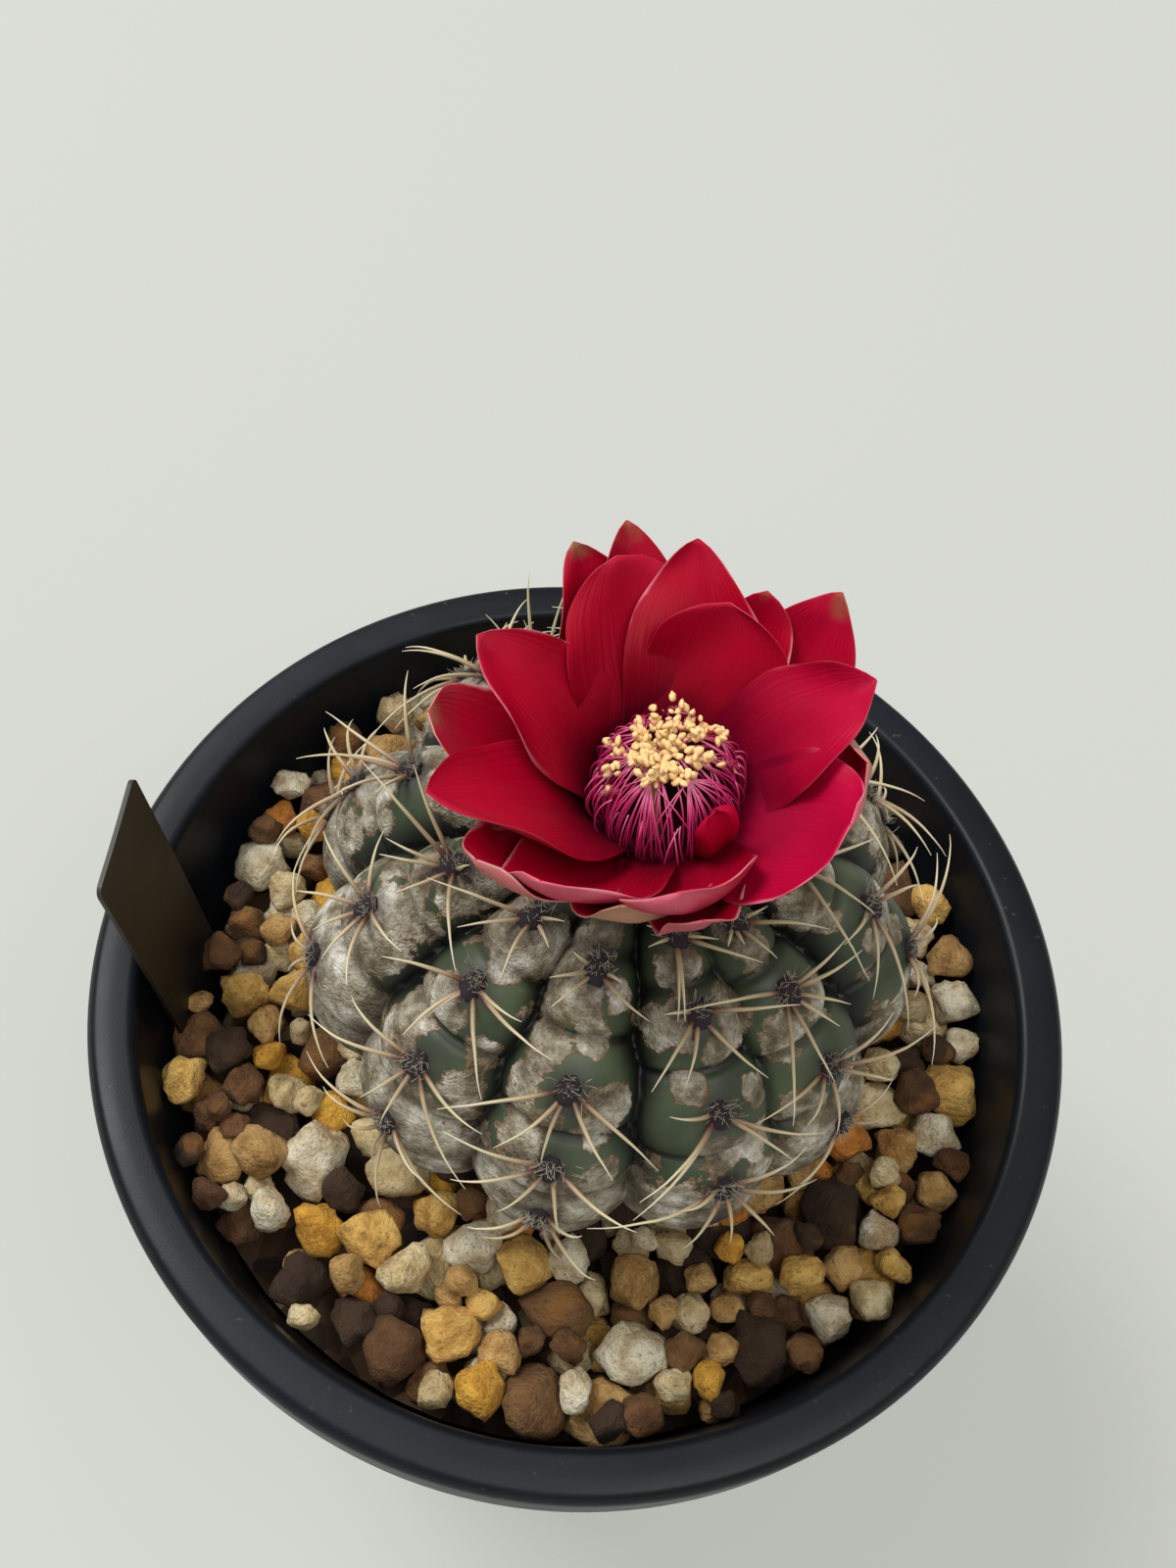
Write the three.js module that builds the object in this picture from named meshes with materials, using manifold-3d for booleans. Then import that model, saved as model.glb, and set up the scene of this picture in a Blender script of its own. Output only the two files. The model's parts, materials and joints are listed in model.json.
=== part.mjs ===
// A globe cactus in flower, growing in a round plastic nursery pot topped with grit.
// Units are millimetres, +Z is up, and the origin is the middle of the pot's underside.
import * as THREE from "three";
import { mergeVertices } from "three/addons/utils/BufferGeometryUtils.js";
import Module from "manifold-3d";

const wasm = await Module();
wasm.setup();

// ---- Driving dimensions -------------------------------------------------

// Clearance left between any two pieces that touch.
const FIT_GAP = 0.3;

// Pot: a tapered moulding with a rolled rim, a hub and a foot ring under it.
const POT_HEIGHT = 105;
const RIM_OUTER_RADIUS = 60;
const RIM_WIDTH = 5.8;
const RIM_SKIRT_HEIGHT = 10;
const RIM_ROUND = 2.2;
const POT_WALL = 1.3;
const BASE_RADIUS = 41.3;
const FLOOR_THICKNESS = 1.6;
const FOOT_HEIGHT = 3;
const FOOT_WIDTH = 5;
const HUB_RADIUS = 16;
const DRAIN_HOLE_RADIUS = 3.5;
const DRAIN_HOLES = 8;

// Fill: potting mix below, a dressing of grit on top.
const GRIT_BELOW_RIM = 9.1;
const GRIT_DEPTH = 14;
const GRIT_BUMP = 0.9;
const GRIT_SIZE = 7;

// Plant body: a flattened globe with ribs, each rib notched into chins. Angles in degrees.
const STEM_AXIS = { x: 1.5, y: 1.0 };
const STEM_BURIED = 4.9;
const STEM_RADIUS = 36.5;
const STEM_HALF_HEIGHT = 28;
const RIBS = 11;
const FIRST_RIB_AZIMUTH = -57.5;
const RIB_DEPTH = 4.2;
const CHIN_DEPTH = 1.6;
const CHIN_PITCH = 20;
const CHIN_SAG = 3;
const CROWN_DIP = 2.5;
const CROWN_DIP_ANGLE = 14;
const TAPROOT_RADIUS = 9;
const TAPROOT_TIP_RADIUS = 2.7;
const TAPROOT_LENGTH = 34;

// Areoles: polar angles from the crown, on even ribs and on odd ribs.
const AREOLE_POLARS = [
  [33, 53, 73],
  [41, 61, 80],
];
const AREOLE_RADIUS = 2.1;
const AREOLE_HEIGHT = 1.1;
const SPINE_LENGTH = 8.5;
const SPINE_RADIUS = 0.45;
const SPINE_LIFT = 42;
const SPINE_DROOP = 0.15;
const SPINE_FAN = [-112, -58, 0, 58, 112];

// Flower: set a little off the crown and leaning to the left.
const FLOWER_FOOT = { x: 4, y: -4 };
const FLOWER_LEAN = 6.8;
const TUBE_LENGTH = 9;
const TUBE_FOOT_RADIUS = 4;
const TUBE_MOUTH_RADIUS = 6;
const TUBE_WALL = 1.4;
const TUBE_SOCKET = 3.4;
const PETAL_THICKNESS = 0.8;
const PETAL_TIP_WIDTH = 0.35;
const FUNNEL_FLARE = 0.5;
const STAMEN_HEIGHT = 21.5;
const STAMEN_SPREAD = 7.6;
const STYLE_HEIGHT = 18.5;
const STYLE_RADIUS = 0.8;
const STIGMA_RADIUS = 1.5;
const FILAMENT_BORE = 2.1;

// Each petal: its azimuth, then the radius and height of its tip above the foot.
const INNER_PETALS = [
  [27, 20.5, 25.5],
  [57, 17.5, 24],
  [86, 20.5, 26.5],
  [118, 18.5, 26],
  [161, 18, 26.5],
  [210, 20.5, 25.5],
  [250, 19.5, 24.5],
  [290, 18.5, 24.5],
  [338, 20, 25],
];
const OUTER_PETALS = [
  [5, 19.5, 22],
  [45, 23.5, 24.5],
  [72, 19.5, 23.5],
  [103, 22.5, 25.5],
  [130, 20.5, 24.5],
  [190, 20.5, 23],
  [236, 20.5, 22],
  [270, 18.5, 20.5],
  [305, 20, 22],
];
const CURLED_PETAL = { azimuth: 310, halfAngle: 11, length: 4.6 };

// Plant label: a thin tag pushed in beside the wall, leaning out over the rim.
const LABEL_WIDTH = 15.6;
const LABEL_THICKNESS = 0.9;
const LABEL_ABOVE_RIM = 17;
const LABEL_BELOW_RIM = 34;
const LABEL_POINT = 9;
const LABEL_AZIMUTH = 183.5;
const LABEL_LEAN = 12;

// Smoothness of the round pieces.
const POT_SEGMENTS = 48;
const RIB_SEGMENTS = 4;
const STEM_ROWS = 16;
const SMALL_SEGMENTS = 16;

// ---- Finishes -------------------------------------------------------------

const FINISH = {
  pot: { color: 0x33363b, roughness: 0.5, metalness: 0 },
  mix: { color: 0x3a2a1d, roughness: 1, metalness: 0 },
  grit: { color: 0xc9b183, roughness: 0.95, metalness: 0 },
  label: { color: 0x241d18, roughness: 0.45, metalness: 0 },
  stem: { color: 0x45523f, roughness: 0.7, metalness: 0 },
  spine: { color: 0xd8c9a4, roughness: 0.6, metalness: 0 },
  tube: { color: 0x7d8a5c, roughness: 0.6, metalness: 0 },
  petal: { color: 0xb0001f, roughness: 0.45, metalness: 0 },
  stamen: { color: 0xe9d28f, roughness: 0.8, metalness: 0 },
};

// ---- Helpers --------------------------------------------------------------

const radians = THREE.MathUtils.degToRad;
const group = new THREE.Group();
group.name = "potted_round_cactus";

function meshOf(name, geometry, finish, parent = group) {
  const mesh = new THREE.Mesh(geometry, new THREE.MeshStandardMaterial(FINISH[finish]));
  mesh.name = name;
  parent.add(mesh);
  return mesh;
}

// Turns a closed geometry into a solid that can be cut and joined.
function solidOf(geometry) {
  const bare = new THREE.BufferGeometry();
  bare.setAttribute("position", geometry.getAttribute("position"));
  if (geometry.index) bare.setIndex(geometry.index);
  const merged = mergeVertices(bare, 1e-4);
  return new wasm.Manifold(
    new wasm.Mesh({
      numProp: 3,
      vertProperties: new Float32Array(merged.attributes.position.array),
      triVerts: new Uint32Array(merged.index.array),
    }),
  );
}

function geometryOf(solid) {
  const mesh = solid.getMesh();
  const geometry = new THREE.BufferGeometry();
  geometry.setAttribute("position", new THREE.BufferAttribute(mesh.vertProperties, 3));
  geometry.setIndex(new THREE.BufferAttribute(mesh.triVerts, 1));
  geometry.computeVertexNormals();
  return geometry;
}

// A solid of revolution about Z. The outline is [radius, height] pairs, inside to the left.
function turned(outline, segments) {
  const points = outline.map(([radius, height]) => new THREE.Vector2(radius, height));
  const lathe = new THREE.LatheGeometry(points, segments);
  return lathe.rotateX(Math.PI / 2);
}

// Joins two grids of points, the front and back of a sheet, into one closed shell.
function shellOf(front, back, rows, columns) {
  const width = columns + 1;
  const offset = front.length;
  const index = [];
  const quad = (a, b, c, d) => index.push(a, c, b, a, d, c);
  for (let row = 0; row < rows; row++) {
    for (let column = 0; column < columns; column++) {
      const a = row * width + column;
      quad(a, a + 1, a + 1 + width, a + width);
      quad(offset + a, offset + a + width, offset + a + 1 + width, offset + a + 1);
    }
  }
  for (let column = 0; column < columns; column++) {
    const top = rows * width + column;
    quad(column, offset + column, offset + column + 1, column + 1);
    quad(top, top + 1, offset + top + 1, offset + top);
  }
  for (let row = 0; row < rows; row++) {
    const left = row * width;
    const right = left + columns;
    quad(left, left + width, offset + left + width, offset + left);
    quad(right, offset + right, offset + right + width, right + width);
  }
  const geometry = new THREE.BufferGeometry();
  const places = [...front, ...back].flatMap((point) => point.toArray());
  geometry.setAttribute("position", new THREE.Float32BufferAttribute(places, 3));
  geometry.setIndex(index);
  return geometry;
}

// ---- Pot --------------------------------------------------------------------

const rimInnerRadius = RIM_OUTER_RADIUS - RIM_WIDTH;

// Radius of the pot's inner wall at a height: it tapers straight from rim to floor.
function innerWallRadius(height) {
  const floorRadius = BASE_RADIUS - POT_WALL;
  const rise = (height - FLOOR_THICKNESS) / (POT_HEIGHT - FLOOR_THICKNESS);
  return floorRadius + (rimInnerRadius - floorRadius) * rise;
}

// The upper face of the floor, from the axis to the wall, raised by a gap.
function floorOutline(gap) {
  const low = FLOOR_THICKNESS + gap;
  const high = FOOT_HEIGHT + FLOOR_THICKNESS + gap;
  const hub = HUB_RADIUS - FLOOR_THICKNESS - gap;
  const foot = BASE_RADIUS - FOOT_WIDTH + FLOOR_THICKNESS + gap;
  return [
    [0, low],
    [hub, low],
    [hub, high],
    [foot, high],
    [foot, low],
    [innerWallRadius(low) - gap, low],
  ];
}

function potGeometry() {
  const outer = (height) => innerWallRadius(height) + POT_WALL;
  const shelf = POT_HEIGHT - RIM_ROUND - POT_WALL;
  const skirtFoot = POT_HEIGHT - RIM_SKIRT_HEIGHT;
  const skirtInside = RIM_OUTER_RADIUS - POT_WALL;
  const footInside = BASE_RADIUS - FOOT_WIDTH;
  const rimRounding = [0, 30, 60, 90].map((angle) => [
    RIM_OUTER_RADIUS - RIM_ROUND * (1 - Math.cos(radians(angle))),
    POT_HEIGHT - RIM_ROUND * (1 - Math.sin(radians(angle))),
  ]);
  const outline = [
    [0, 0],
    [HUB_RADIUS, 0],
    [HUB_RADIUS, FOOT_HEIGHT],
    [footInside, FOOT_HEIGHT],
    [footInside, 0],
    [BASE_RADIUS, 0],
    [outer(shelf), shelf],
    [skirtInside, shelf],
    [skirtInside, skirtFoot],
    [RIM_OUTER_RADIUS, skirtFoot],
    ...rimRounding,
    [rimInnerRadius, POT_HEIGHT],
    ...floorOutline(0).reverse(),
  ];
  let pot = solidOf(turned(outline, POT_SEGMENTS));
  const ringRadius = (HUB_RADIUS + footInside) / 2;
  for (let hole = 0; hole < DRAIN_HOLES; hole++) {
    const angle = (hole / DRAIN_HOLES) * 2 * Math.PI;
    const drill = new THREE.CylinderGeometry(
      DRAIN_HOLE_RADIUS,
      DRAIN_HOLE_RADIUS,
      4 * FLOOR_THICKNESS,
      SMALL_SEGMENTS,
    );
    drill.rotateX(Math.PI / 2);
    drill.translate(
      ringRadius * Math.cos(angle),
      ringRadius * Math.sin(angle),
      FOOT_HEIGHT + FLOOR_THICKNESS / 2,
    );
    pot = pot.subtract(solidOf(drill));
  }
  return geometryOf(pot);
}

// ---- Plant body -------------------------------------------------------------

const gritTop = POT_HEIGHT - GRIT_BELOW_RIM;
const gritFoot = gritTop - GRIT_DEPTH;
const stemCentre = new THREE.Vector3(
  STEM_AXIS.x,
  STEM_AXIS.y,
  gritTop - STEM_BURIED + STEM_HALF_HEIGHT,
);
const ribStep = (2 * Math.PI) / RIBS;

// A point of the ribbed surface, from its azimuth and its polar angle at the crown.
function stemPoint(azimuth, polar, grow = 0) {
  const turns = (azimuth - radians(FIRST_RIB_AZIMUTH)) / ribStep;
  const rib = Math.round(turns);
  const across = 2 * (turns - rib);
  const parity = ((rib % RIBS) + RIBS) % 2;
  const firstChin = AREOLE_POLARS[parity][0] + CHIN_SAG;
  const along = (THREE.MathUtils.radToDeg(polar) - firstChin) / CHIN_PITCH;
  const notch = (1 - Math.cos(2 * Math.PI * along)) / 2;
  const fade = Math.sin(polar);
  const cut = fade * (RIB_DEPTH * across ** 2 + CHIN_DEPTH * notch * (1 - across ** 2));
  const flat = STEM_RADIUS + grow - cut;
  const tall = STEM_HALF_HEIGHT + grow - cut;
  const dip = CROWN_DIP * Math.exp(-((polar / radians(CROWN_DIP_ANGLE)) ** 2));
  return new THREE.Vector3(
    stemCentre.x + flat * Math.sin(polar) * Math.cos(azimuth),
    stemCentre.y + flat * Math.sin(polar) * Math.sin(azimuth),
    stemCentre.z + tall * Math.cos(polar) - dip,
  );
}

// The globe and the taproot under it grew as one piece.
function stemSolid(grow = 0) {
  const columns = RIBS * RIB_SEGMENTS;
  const places = [...stemPoint(0, 0, grow).toArray()];
  for (let row = 1; row < STEM_ROWS; row++) {
    const polar = (row / STEM_ROWS) * Math.PI;
    for (let column = 0; column < columns; column++) {
      const azimuth = radians(FIRST_RIB_AZIMUTH) + (column / columns) * 2 * Math.PI;
      places.push(...stemPoint(azimuth, polar, grow).toArray());
    }
  }
  places.push(...stemPoint(0, Math.PI, grow).toArray());
  const last = places.length / 3 - 1;
  const index = [];
  for (let column = 0; column < columns; column++) {
    const next = (column + 1) % columns;
    index.push(0, 1 + column, 1 + next);
    index.push(last, last - columns + next, last - columns + column);
    for (let row = 0; row < STEM_ROWS - 2; row++) {
      const a = 1 + row * columns + column;
      const b = 1 + row * columns + next;
      index.push(a, a + columns, b + columns, a, b + columns, b);
    }
  }
  const globe = new THREE.BufferGeometry();
  globe.setAttribute("position", new THREE.Float32BufferAttribute(places, 3));
  globe.setIndex(index);
  const neck = stemCentre.z - STEM_HALF_HEIGHT + CHIN_DEPTH;
  const rootTip = neck - TAPROOT_LENGTH - grow;
  const taproot = turned(
    [
      [0, rootTip],
      [TAPROOT_TIP_RADIUS + grow, rootTip],
      [TAPROOT_RADIUS + grow, neck],
      [0, neck],
    ],
    SMALL_SEGMENTS,
  );
  taproot.translate(stemCentre.x, stemCentre.y, 0);
  return solidOf(globe).add(solidOf(taproot));
}

const stem = stemSolid();
const stemSeat = stemSolid(FIT_GAP);

// ---- Areoles with their spines ----------------------------------------------

// One curved, tapering spine: a thin three-sided horn from the areole's middle.
function spineGeometry(fan) {
  const heading = new THREE.Vector3(Math.sin(radians(fan)), -Math.cos(radians(fan)), 0);
  const side = new THREE.Vector3(heading.y, -heading.x, 0);
  const reach = SPINE_LENGTH * Math.cos(radians(SPINE_LIFT));
  const rise = SPINE_LENGTH * Math.sin(radians(SPINE_LIFT));
  const centre = (share) =>
    heading.clone().multiplyScalar(reach * share).setZ(rise * (share - SPINE_DROOP * share ** 2));
  const places = [];
  for (const share of [0, 0.5]) {
    const thickness = SPINE_RADIUS * (1 - share / 2);
    for (const turn of [90, 210, 330]) {
      const corner = centre(share).addScaledVector(side, thickness * Math.cos(radians(turn)));
      corner.z += thickness * Math.sin(radians(turn));
      places.push(...corner.toArray());
    }
  }
  places.push(...centre(1).toArray());
  const geometry = new THREE.BufferGeometry();
  geometry.setAttribute("position", new THREE.Float32BufferAttribute(places, 3));
  const index = [0, 1, 2];
  for (let face = 0; face < 3; face++) {
    const next = (face + 1) % 3;
    index.push(face, next + 3, next, face, face + 3, next + 3);
    index.push(face + 3, 6, next + 3);
  }
  geometry.setIndex(index);
  return geometry;
}

// Frame of an areole: X along the rib's width, Y towards the crown, Z off the skin.
function areoleMatrix(azimuth, polar) {
  const out = new THREE.Vector3(
    (Math.sin(polar) * Math.cos(azimuth)) / STEM_RADIUS,
    (Math.sin(polar) * Math.sin(azimuth)) / STEM_RADIUS,
    Math.cos(polar) / STEM_HALF_HEIGHT,
  ).normalize();
  const side = new THREE.Vector3(-Math.sin(azimuth), Math.cos(azimuth), 0);
  const up = new THREE.Vector3().crossVectors(out, side);
  const matrix = new THREE.Matrix4().makeBasis(side, up, out);
  return matrix.setPosition(stemPoint(azimuth, polar, FIT_GAP));
}

function areoleGeometry(azimuth, polar) {
  const pad = new THREE.IcosahedronGeometry(AREOLE_RADIUS, 0);
  pad.scale(1, 1, AREOLE_HEIGHT / AREOLE_RADIUS);
  let cluster = solidOf(pad);
  for (const fan of SPINE_FAN) {
    cluster = cluster.add(solidOf(spineGeometry(fan)));
  }
  const matrix = areoleMatrix(azimuth, polar);
  const placed = cluster.transform(matrix.elements);
  return geometryOf(placed.subtract(stemSeat));
}

function addAreoles() {
  for (let rib = 0; rib < RIBS; rib++) {
    const azimuth = radians(FIRST_RIB_AZIMUTH) + rib * ribStep;
    AREOLE_POLARS[rib % 2].forEach((polar, place) => {
      const name = `spines_rib_${String(rib + 1).padStart(2, "0")}_areole_${place + 1}`;
      meshOf(name, areoleGeometry(azimuth, radians(polar)), "spine");
    });
  }
}

// ---- Flower -----------------------------------------------------------------

const flower = new THREE.Group();
const crown = Math.hypot(FLOWER_FOOT.x - stemCentre.x, FLOWER_FOOT.y - stemCentre.y);
flower.position.set(
  FLOWER_FOOT.x,
  FLOWER_FOOT.y,
  stemCentre.z + STEM_HALF_HEIGHT * Math.sqrt(1 - (crown / STEM_RADIUS) ** 2),
);
flower.rotation.y = -radians(FLOWER_LEAN);
flower.updateMatrix();
group.add(flower);

const socketRadius = TUBE_FOOT_RADIUS - TUBE_WALL / 2;

function tubeGeometry() {
  const root = -2 * CROWN_DIP;
  const outline = [
    [0, root],
    [TUBE_FOOT_RADIUS, root],
    [TUBE_FOOT_RADIUS, TUBE_LENGTH / 3],
    [TUBE_MOUTH_RADIUS, TUBE_LENGTH],
    [TUBE_MOUTH_RADIUS - TUBE_WALL, TUBE_LENGTH],
    [socketRadius, TUBE_SOCKET],
    [0, TUBE_SOCKET],
  ];
  const seat = stemSeat.transform(flower.matrix.clone().invert().elements);
  return geometryOf(solidOf(turned(outline, SMALL_SEGMENTS)).subtract(seat));
}

function styleGeometry() {
  const foot = TUBE_SOCKET + FIT_GAP;
  const stigma = STYLE_HEIGHT - 2 * STIGMA_RADIUS;
  const outline = [
    [0, foot],
    [STYLE_RADIUS, foot],
    [STYLE_RADIUS, stigma],
    [STIGMA_RADIUS, stigma + STIGMA_RADIUS],
    [0, STYLE_HEIGHT],
  ];
  return turned(outline, 8);
}

// A petal's centreline rises along a funnel: radius from the height above the flower's foot.
function funnelRadius(foot, tip, height) {
  const share = (height - foot.height) / (tip.height - foot.height);
  const flared = (1 - FUNNEL_FLARE) * share + FUNNEL_FLARE * share ** 2;
  return foot.radius + (tip.radius - foot.radius) * flared;
}

// The height at which every petal of a whorl is at least this far from the axis.
function heightOfRoom(whorl, radius) {
  const heights = whorl.petals.map(([, tipRadius, tipHeight]) => {
    const share = (radius - whorl.foot.radius) / (tipRadius - whorl.foot.radius);
    const straight = 1 - FUNNEL_FLARE;
    const root = Math.sqrt(straight ** 2 + 4 * FUNNEL_FLARE * share);
    const rise = (root - straight) / (2 * FUNNEL_FLARE);
    return whorl.foot.height + rise * (tipHeight - whorl.foot.height);
  });
  return Math.max(...heights);
}

// A curved strip of even thickness around the flower's axis, from [radius, height] stations.
function petalGeometry(stations, azimuth, halfAngles) {
  const columns = 4;
  const front = [];
  const back = [];
  stations.forEach(([radius, height], row) => {
    const before = stations[Math.max(row - 1, 0)];
    const after = stations[Math.min(row + 1, stations.length - 1)];
    const slope = Math.atan2(after[1] - before[1], after[0] - before[0]);
    const inwards = (PETAL_THICKNESS / 2) * Math.sin(slope);
    const upwards = (PETAL_THICKNESS / 2) * Math.cos(slope);
    for (let column = 0; column <= columns; column++) {
      const across = (2 * column) / columns - 1;
      const angle = radians(azimuth + across * halfAngles[row]);
      const heading = new THREE.Vector3(Math.cos(angle), Math.sin(angle), 0);
      const faceAt = (reach, level) => heading.clone().multiplyScalar(reach).setZ(level);
      front.push(faceAt(radius - inwards, height + upwards));
      back.push(faceAt(radius + inwards, height - upwards));
    }
  });
  return shellOf(front, back, stations.length - 1, columns);
}

// Half of the free angle between a petal and its nearer neighbour.
function halfSector(petals, place) {
  const azimuth = petals[place][0];
  const next = (petals[(place + 1) % petals.length][0] - azimuth + 360) % 360;
  const before = (azimuth - petals.at(place - 1)[0] + 360) % 360;
  return Math.min(next, before) / 2;
}

function addWhorl({ label, petals, foot }) {
  const shares = [0, 0.33, 0.7, 1];
  const fullness = [0.8, 0.96, 0.98, PETAL_TIP_WIDTH];
  petals.forEach(([azimuth, tipRadius, tipHeight], place) => {
    const tip = { radius: tipRadius, height: tipHeight };
    const stations = shares.map((share) => {
      const height = foot.height + share * (tip.height - foot.height);
      return [funnelRadius(foot, tip, height), height];
    });
    const widest = halfSector(petals, place);
    const halfAngles = stations.map(([radius], row) => {
      const clearance = THREE.MathUtils.radToDeg(FIT_GAP / radius);
      return widest * fullness[row] - clearance;
    });
    const geometry = petalGeometry(stations, azimuth, halfAngles);
    meshOf(`petal_${label}_${place + 1}`, geometry, "petal", flower);
  });
}

const innerWhorl = {
  label: "inner",
  petals: INNER_PETALS,
  foot: {
    radius: TUBE_MOUTH_RADIUS - TUBE_WALL / 2,
    height: TUBE_LENGTH + FIT_GAP + PETAL_THICKNESS / 2,
  },
};
const outerWhorl = {
  label: "outer",
  petals: OUTER_PETALS,
  foot: {
    radius: TUBE_MOUTH_RADIUS + FIT_GAP + PETAL_THICKNESS,
    height: TUBE_LENGTH - PETAL_THICKNESS,
  },
};

// The filaments lean on the petals until they spread no wider, then arch inwards.
function stamensGeometry() {
  const foot = TUBE_SOCKET + FIT_GAP;
  const neck = TUBE_MOUTH_RADIUS - TUBE_WALL - FIT_GAP;
  const widest = heightOfRoom(innerWhorl, STAMEN_SPREAD + PETAL_THICKNESS + 2 * FIT_GAP);
  const arch = STAMEN_HEIGHT - widest;
  const outline = [
    [FILAMENT_BORE, foot],
    [socketRadius - FIT_GAP, foot],
    [neck, TUBE_LENGTH],
    [STAMEN_SPREAD, widest],
    [STAMEN_SPREAD * 0.85, widest + arch * 0.65],
    [STAMEN_SPREAD * 0.5, STAMEN_HEIGHT],
    [FILAMENT_BORE, widest + arch * 0.9],
    [FILAMENT_BORE, foot],
  ];
  return turned(outline, SMALL_SEGMENTS);
}

// A small petal stands between the stamens and the inner petals.
function curledPetalGeometry() {
  const { azimuth, halfAngle, length } = CURLED_PETAL;
  const radius = STAMEN_SPREAD + FIT_GAP + PETAL_THICKNESS;
  const foot = heightOfRoom(innerWhorl, radius + 2 * PETAL_THICKNESS);
  const stations = [
    [radius, foot],
    [radius + FIT_GAP, foot + length / 2],
    [radius, foot + length],
  ];
  return petalGeometry(stations, azimuth, [halfAngle * 0.6, halfAngle, halfAngle * 0.5]);
}

function addFlower() {
  meshOf("flower_tube", tubeGeometry(), "tube", flower);
  meshOf("stamens", stamensGeometry(), "stamen", flower);
  meshOf("style", styleGeometry(), "stamen", flower);
  addWhorl(innerWhorl);
  addWhorl(outerWhorl);
  meshOf("petal_curled", curledPetalGeometry(), "petal", flower);
}

// ---- Label ------------------------------------------------------------------

// The tag's two edges clear the rim's inner edge by the fit gap.
const labelCorner = rimInnerRadius - FIT_GAP - LABEL_THICKNESS;
const labelFromAxis = Math.sqrt(labelCorner ** 2 - (LABEL_WIDTH / 2) ** 2);

function labelGeometry(grow = 0) {
  const half = LABEL_WIDTH / 2 + grow;
  const top = LABEL_ABOVE_RIM + grow;
  const foot = -LABEL_BELOW_RIM - grow;
  const shape = new THREE.Shape();
  shape.moveTo(-half, top);
  shape.lineTo(-half, foot + LABEL_POINT);
  shape.lineTo(0, foot);
  shape.lineTo(half, foot + LABEL_POINT);
  shape.lineTo(half, top);
  shape.closePath();
  const depth = LABEL_THICKNESS + 2 * grow;
  const geometry = new THREE.ExtrudeGeometry(shape, { depth, bevelEnabled: false });
  geometry.translate(0, 0, -depth / 2);
  geometry.rotateX(Math.PI / 2);
  geometry.rotateZ(Math.PI / 2);
  geometry.rotateY(radians(LABEL_LEAN));
  geometry.translate(labelFromAxis, 0, POT_HEIGHT);
  return geometry.rotateZ(radians(LABEL_AZIMUTH));
}

// ---- Fill -------------------------------------------------------------------

const labelSeat = solidOf(labelGeometry(FIT_GAP));

function mixGeometry() {
  const top = gritFoot - FIT_GAP;
  const outline = [...floorOutline(FIT_GAP), [innerWallRadius(top) - FIT_GAP, top], [0, top]];
  const mix = solidOf(turned(outline, POT_SEGMENTS));
  return geometryOf(mix.subtract(stemSeat).subtract(labelSeat));
}

// The dressing's top rises and falls with the stones that lie on it.
function gritGeometry() {
  const rings = 6;
  const edge = (height) => innerWallRadius(height) - FIT_GAP;
  const outline = [
    [0, gritFoot],
    [edge(gritFoot), gritFoot],
  ];
  for (let ring = rings; ring >= 0; ring--) {
    outline.push([(edge(gritTop) * ring) / rings, gritTop]);
  }
  const wave = Math.PI / GRIT_SIZE;
  const bed = turned(outline, POT_SEGMENTS);
  const places = bed.getAttribute("position");
  for (let point = 0; point < places.count; point++) {
    const x = places.getX(point);
    const y = places.getY(point);
    const z = places.getZ(point);
    const inside = Math.hypot(x, y) < edge(gritTop) - 1;
    if (z < gritTop - 1e-3 || !inside) continue;
    places.setZ(point, gritTop + GRIT_BUMP * Math.sin(wave * x + 1) * Math.sin(wave * y + 2));
  }
  return geometryOf(solidOf(bed).subtract(stemSeat).subtract(labelSeat));
}

// ---- The whole plant --------------------------------------------------------

meshOf("pot", potGeometry(), "pot");
meshOf("potting_mix", mixGeometry(), "mix");
meshOf("grit_dressing", gritGeometry(), "grit");
meshOf("plant_label", labelGeometry(), "label");
meshOf("stem", geometryOf(stem), "stem");
addAreoles();
addFlower();

export default group;
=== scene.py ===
# %% [markdown]
# # A globe cactus in flower, in a plastic nursery pot
# The design, its sizes and its places are already settled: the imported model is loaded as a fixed
# frame, and everything here is made to sit where that frame says. What is left is how the plant
# looks: a ribbed body with corky skin, curved spines, a crimson flower, loose grit and dull plastic.
# Lengths are in millimetres until the moment a mesh is built, because a gardener measures so.

# %% Load the fixed frame
import json
import math
import random

import bmesh
import bpy
import numpy as np
from mathutils import Matrix, Quaternion, Vector, noise

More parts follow.
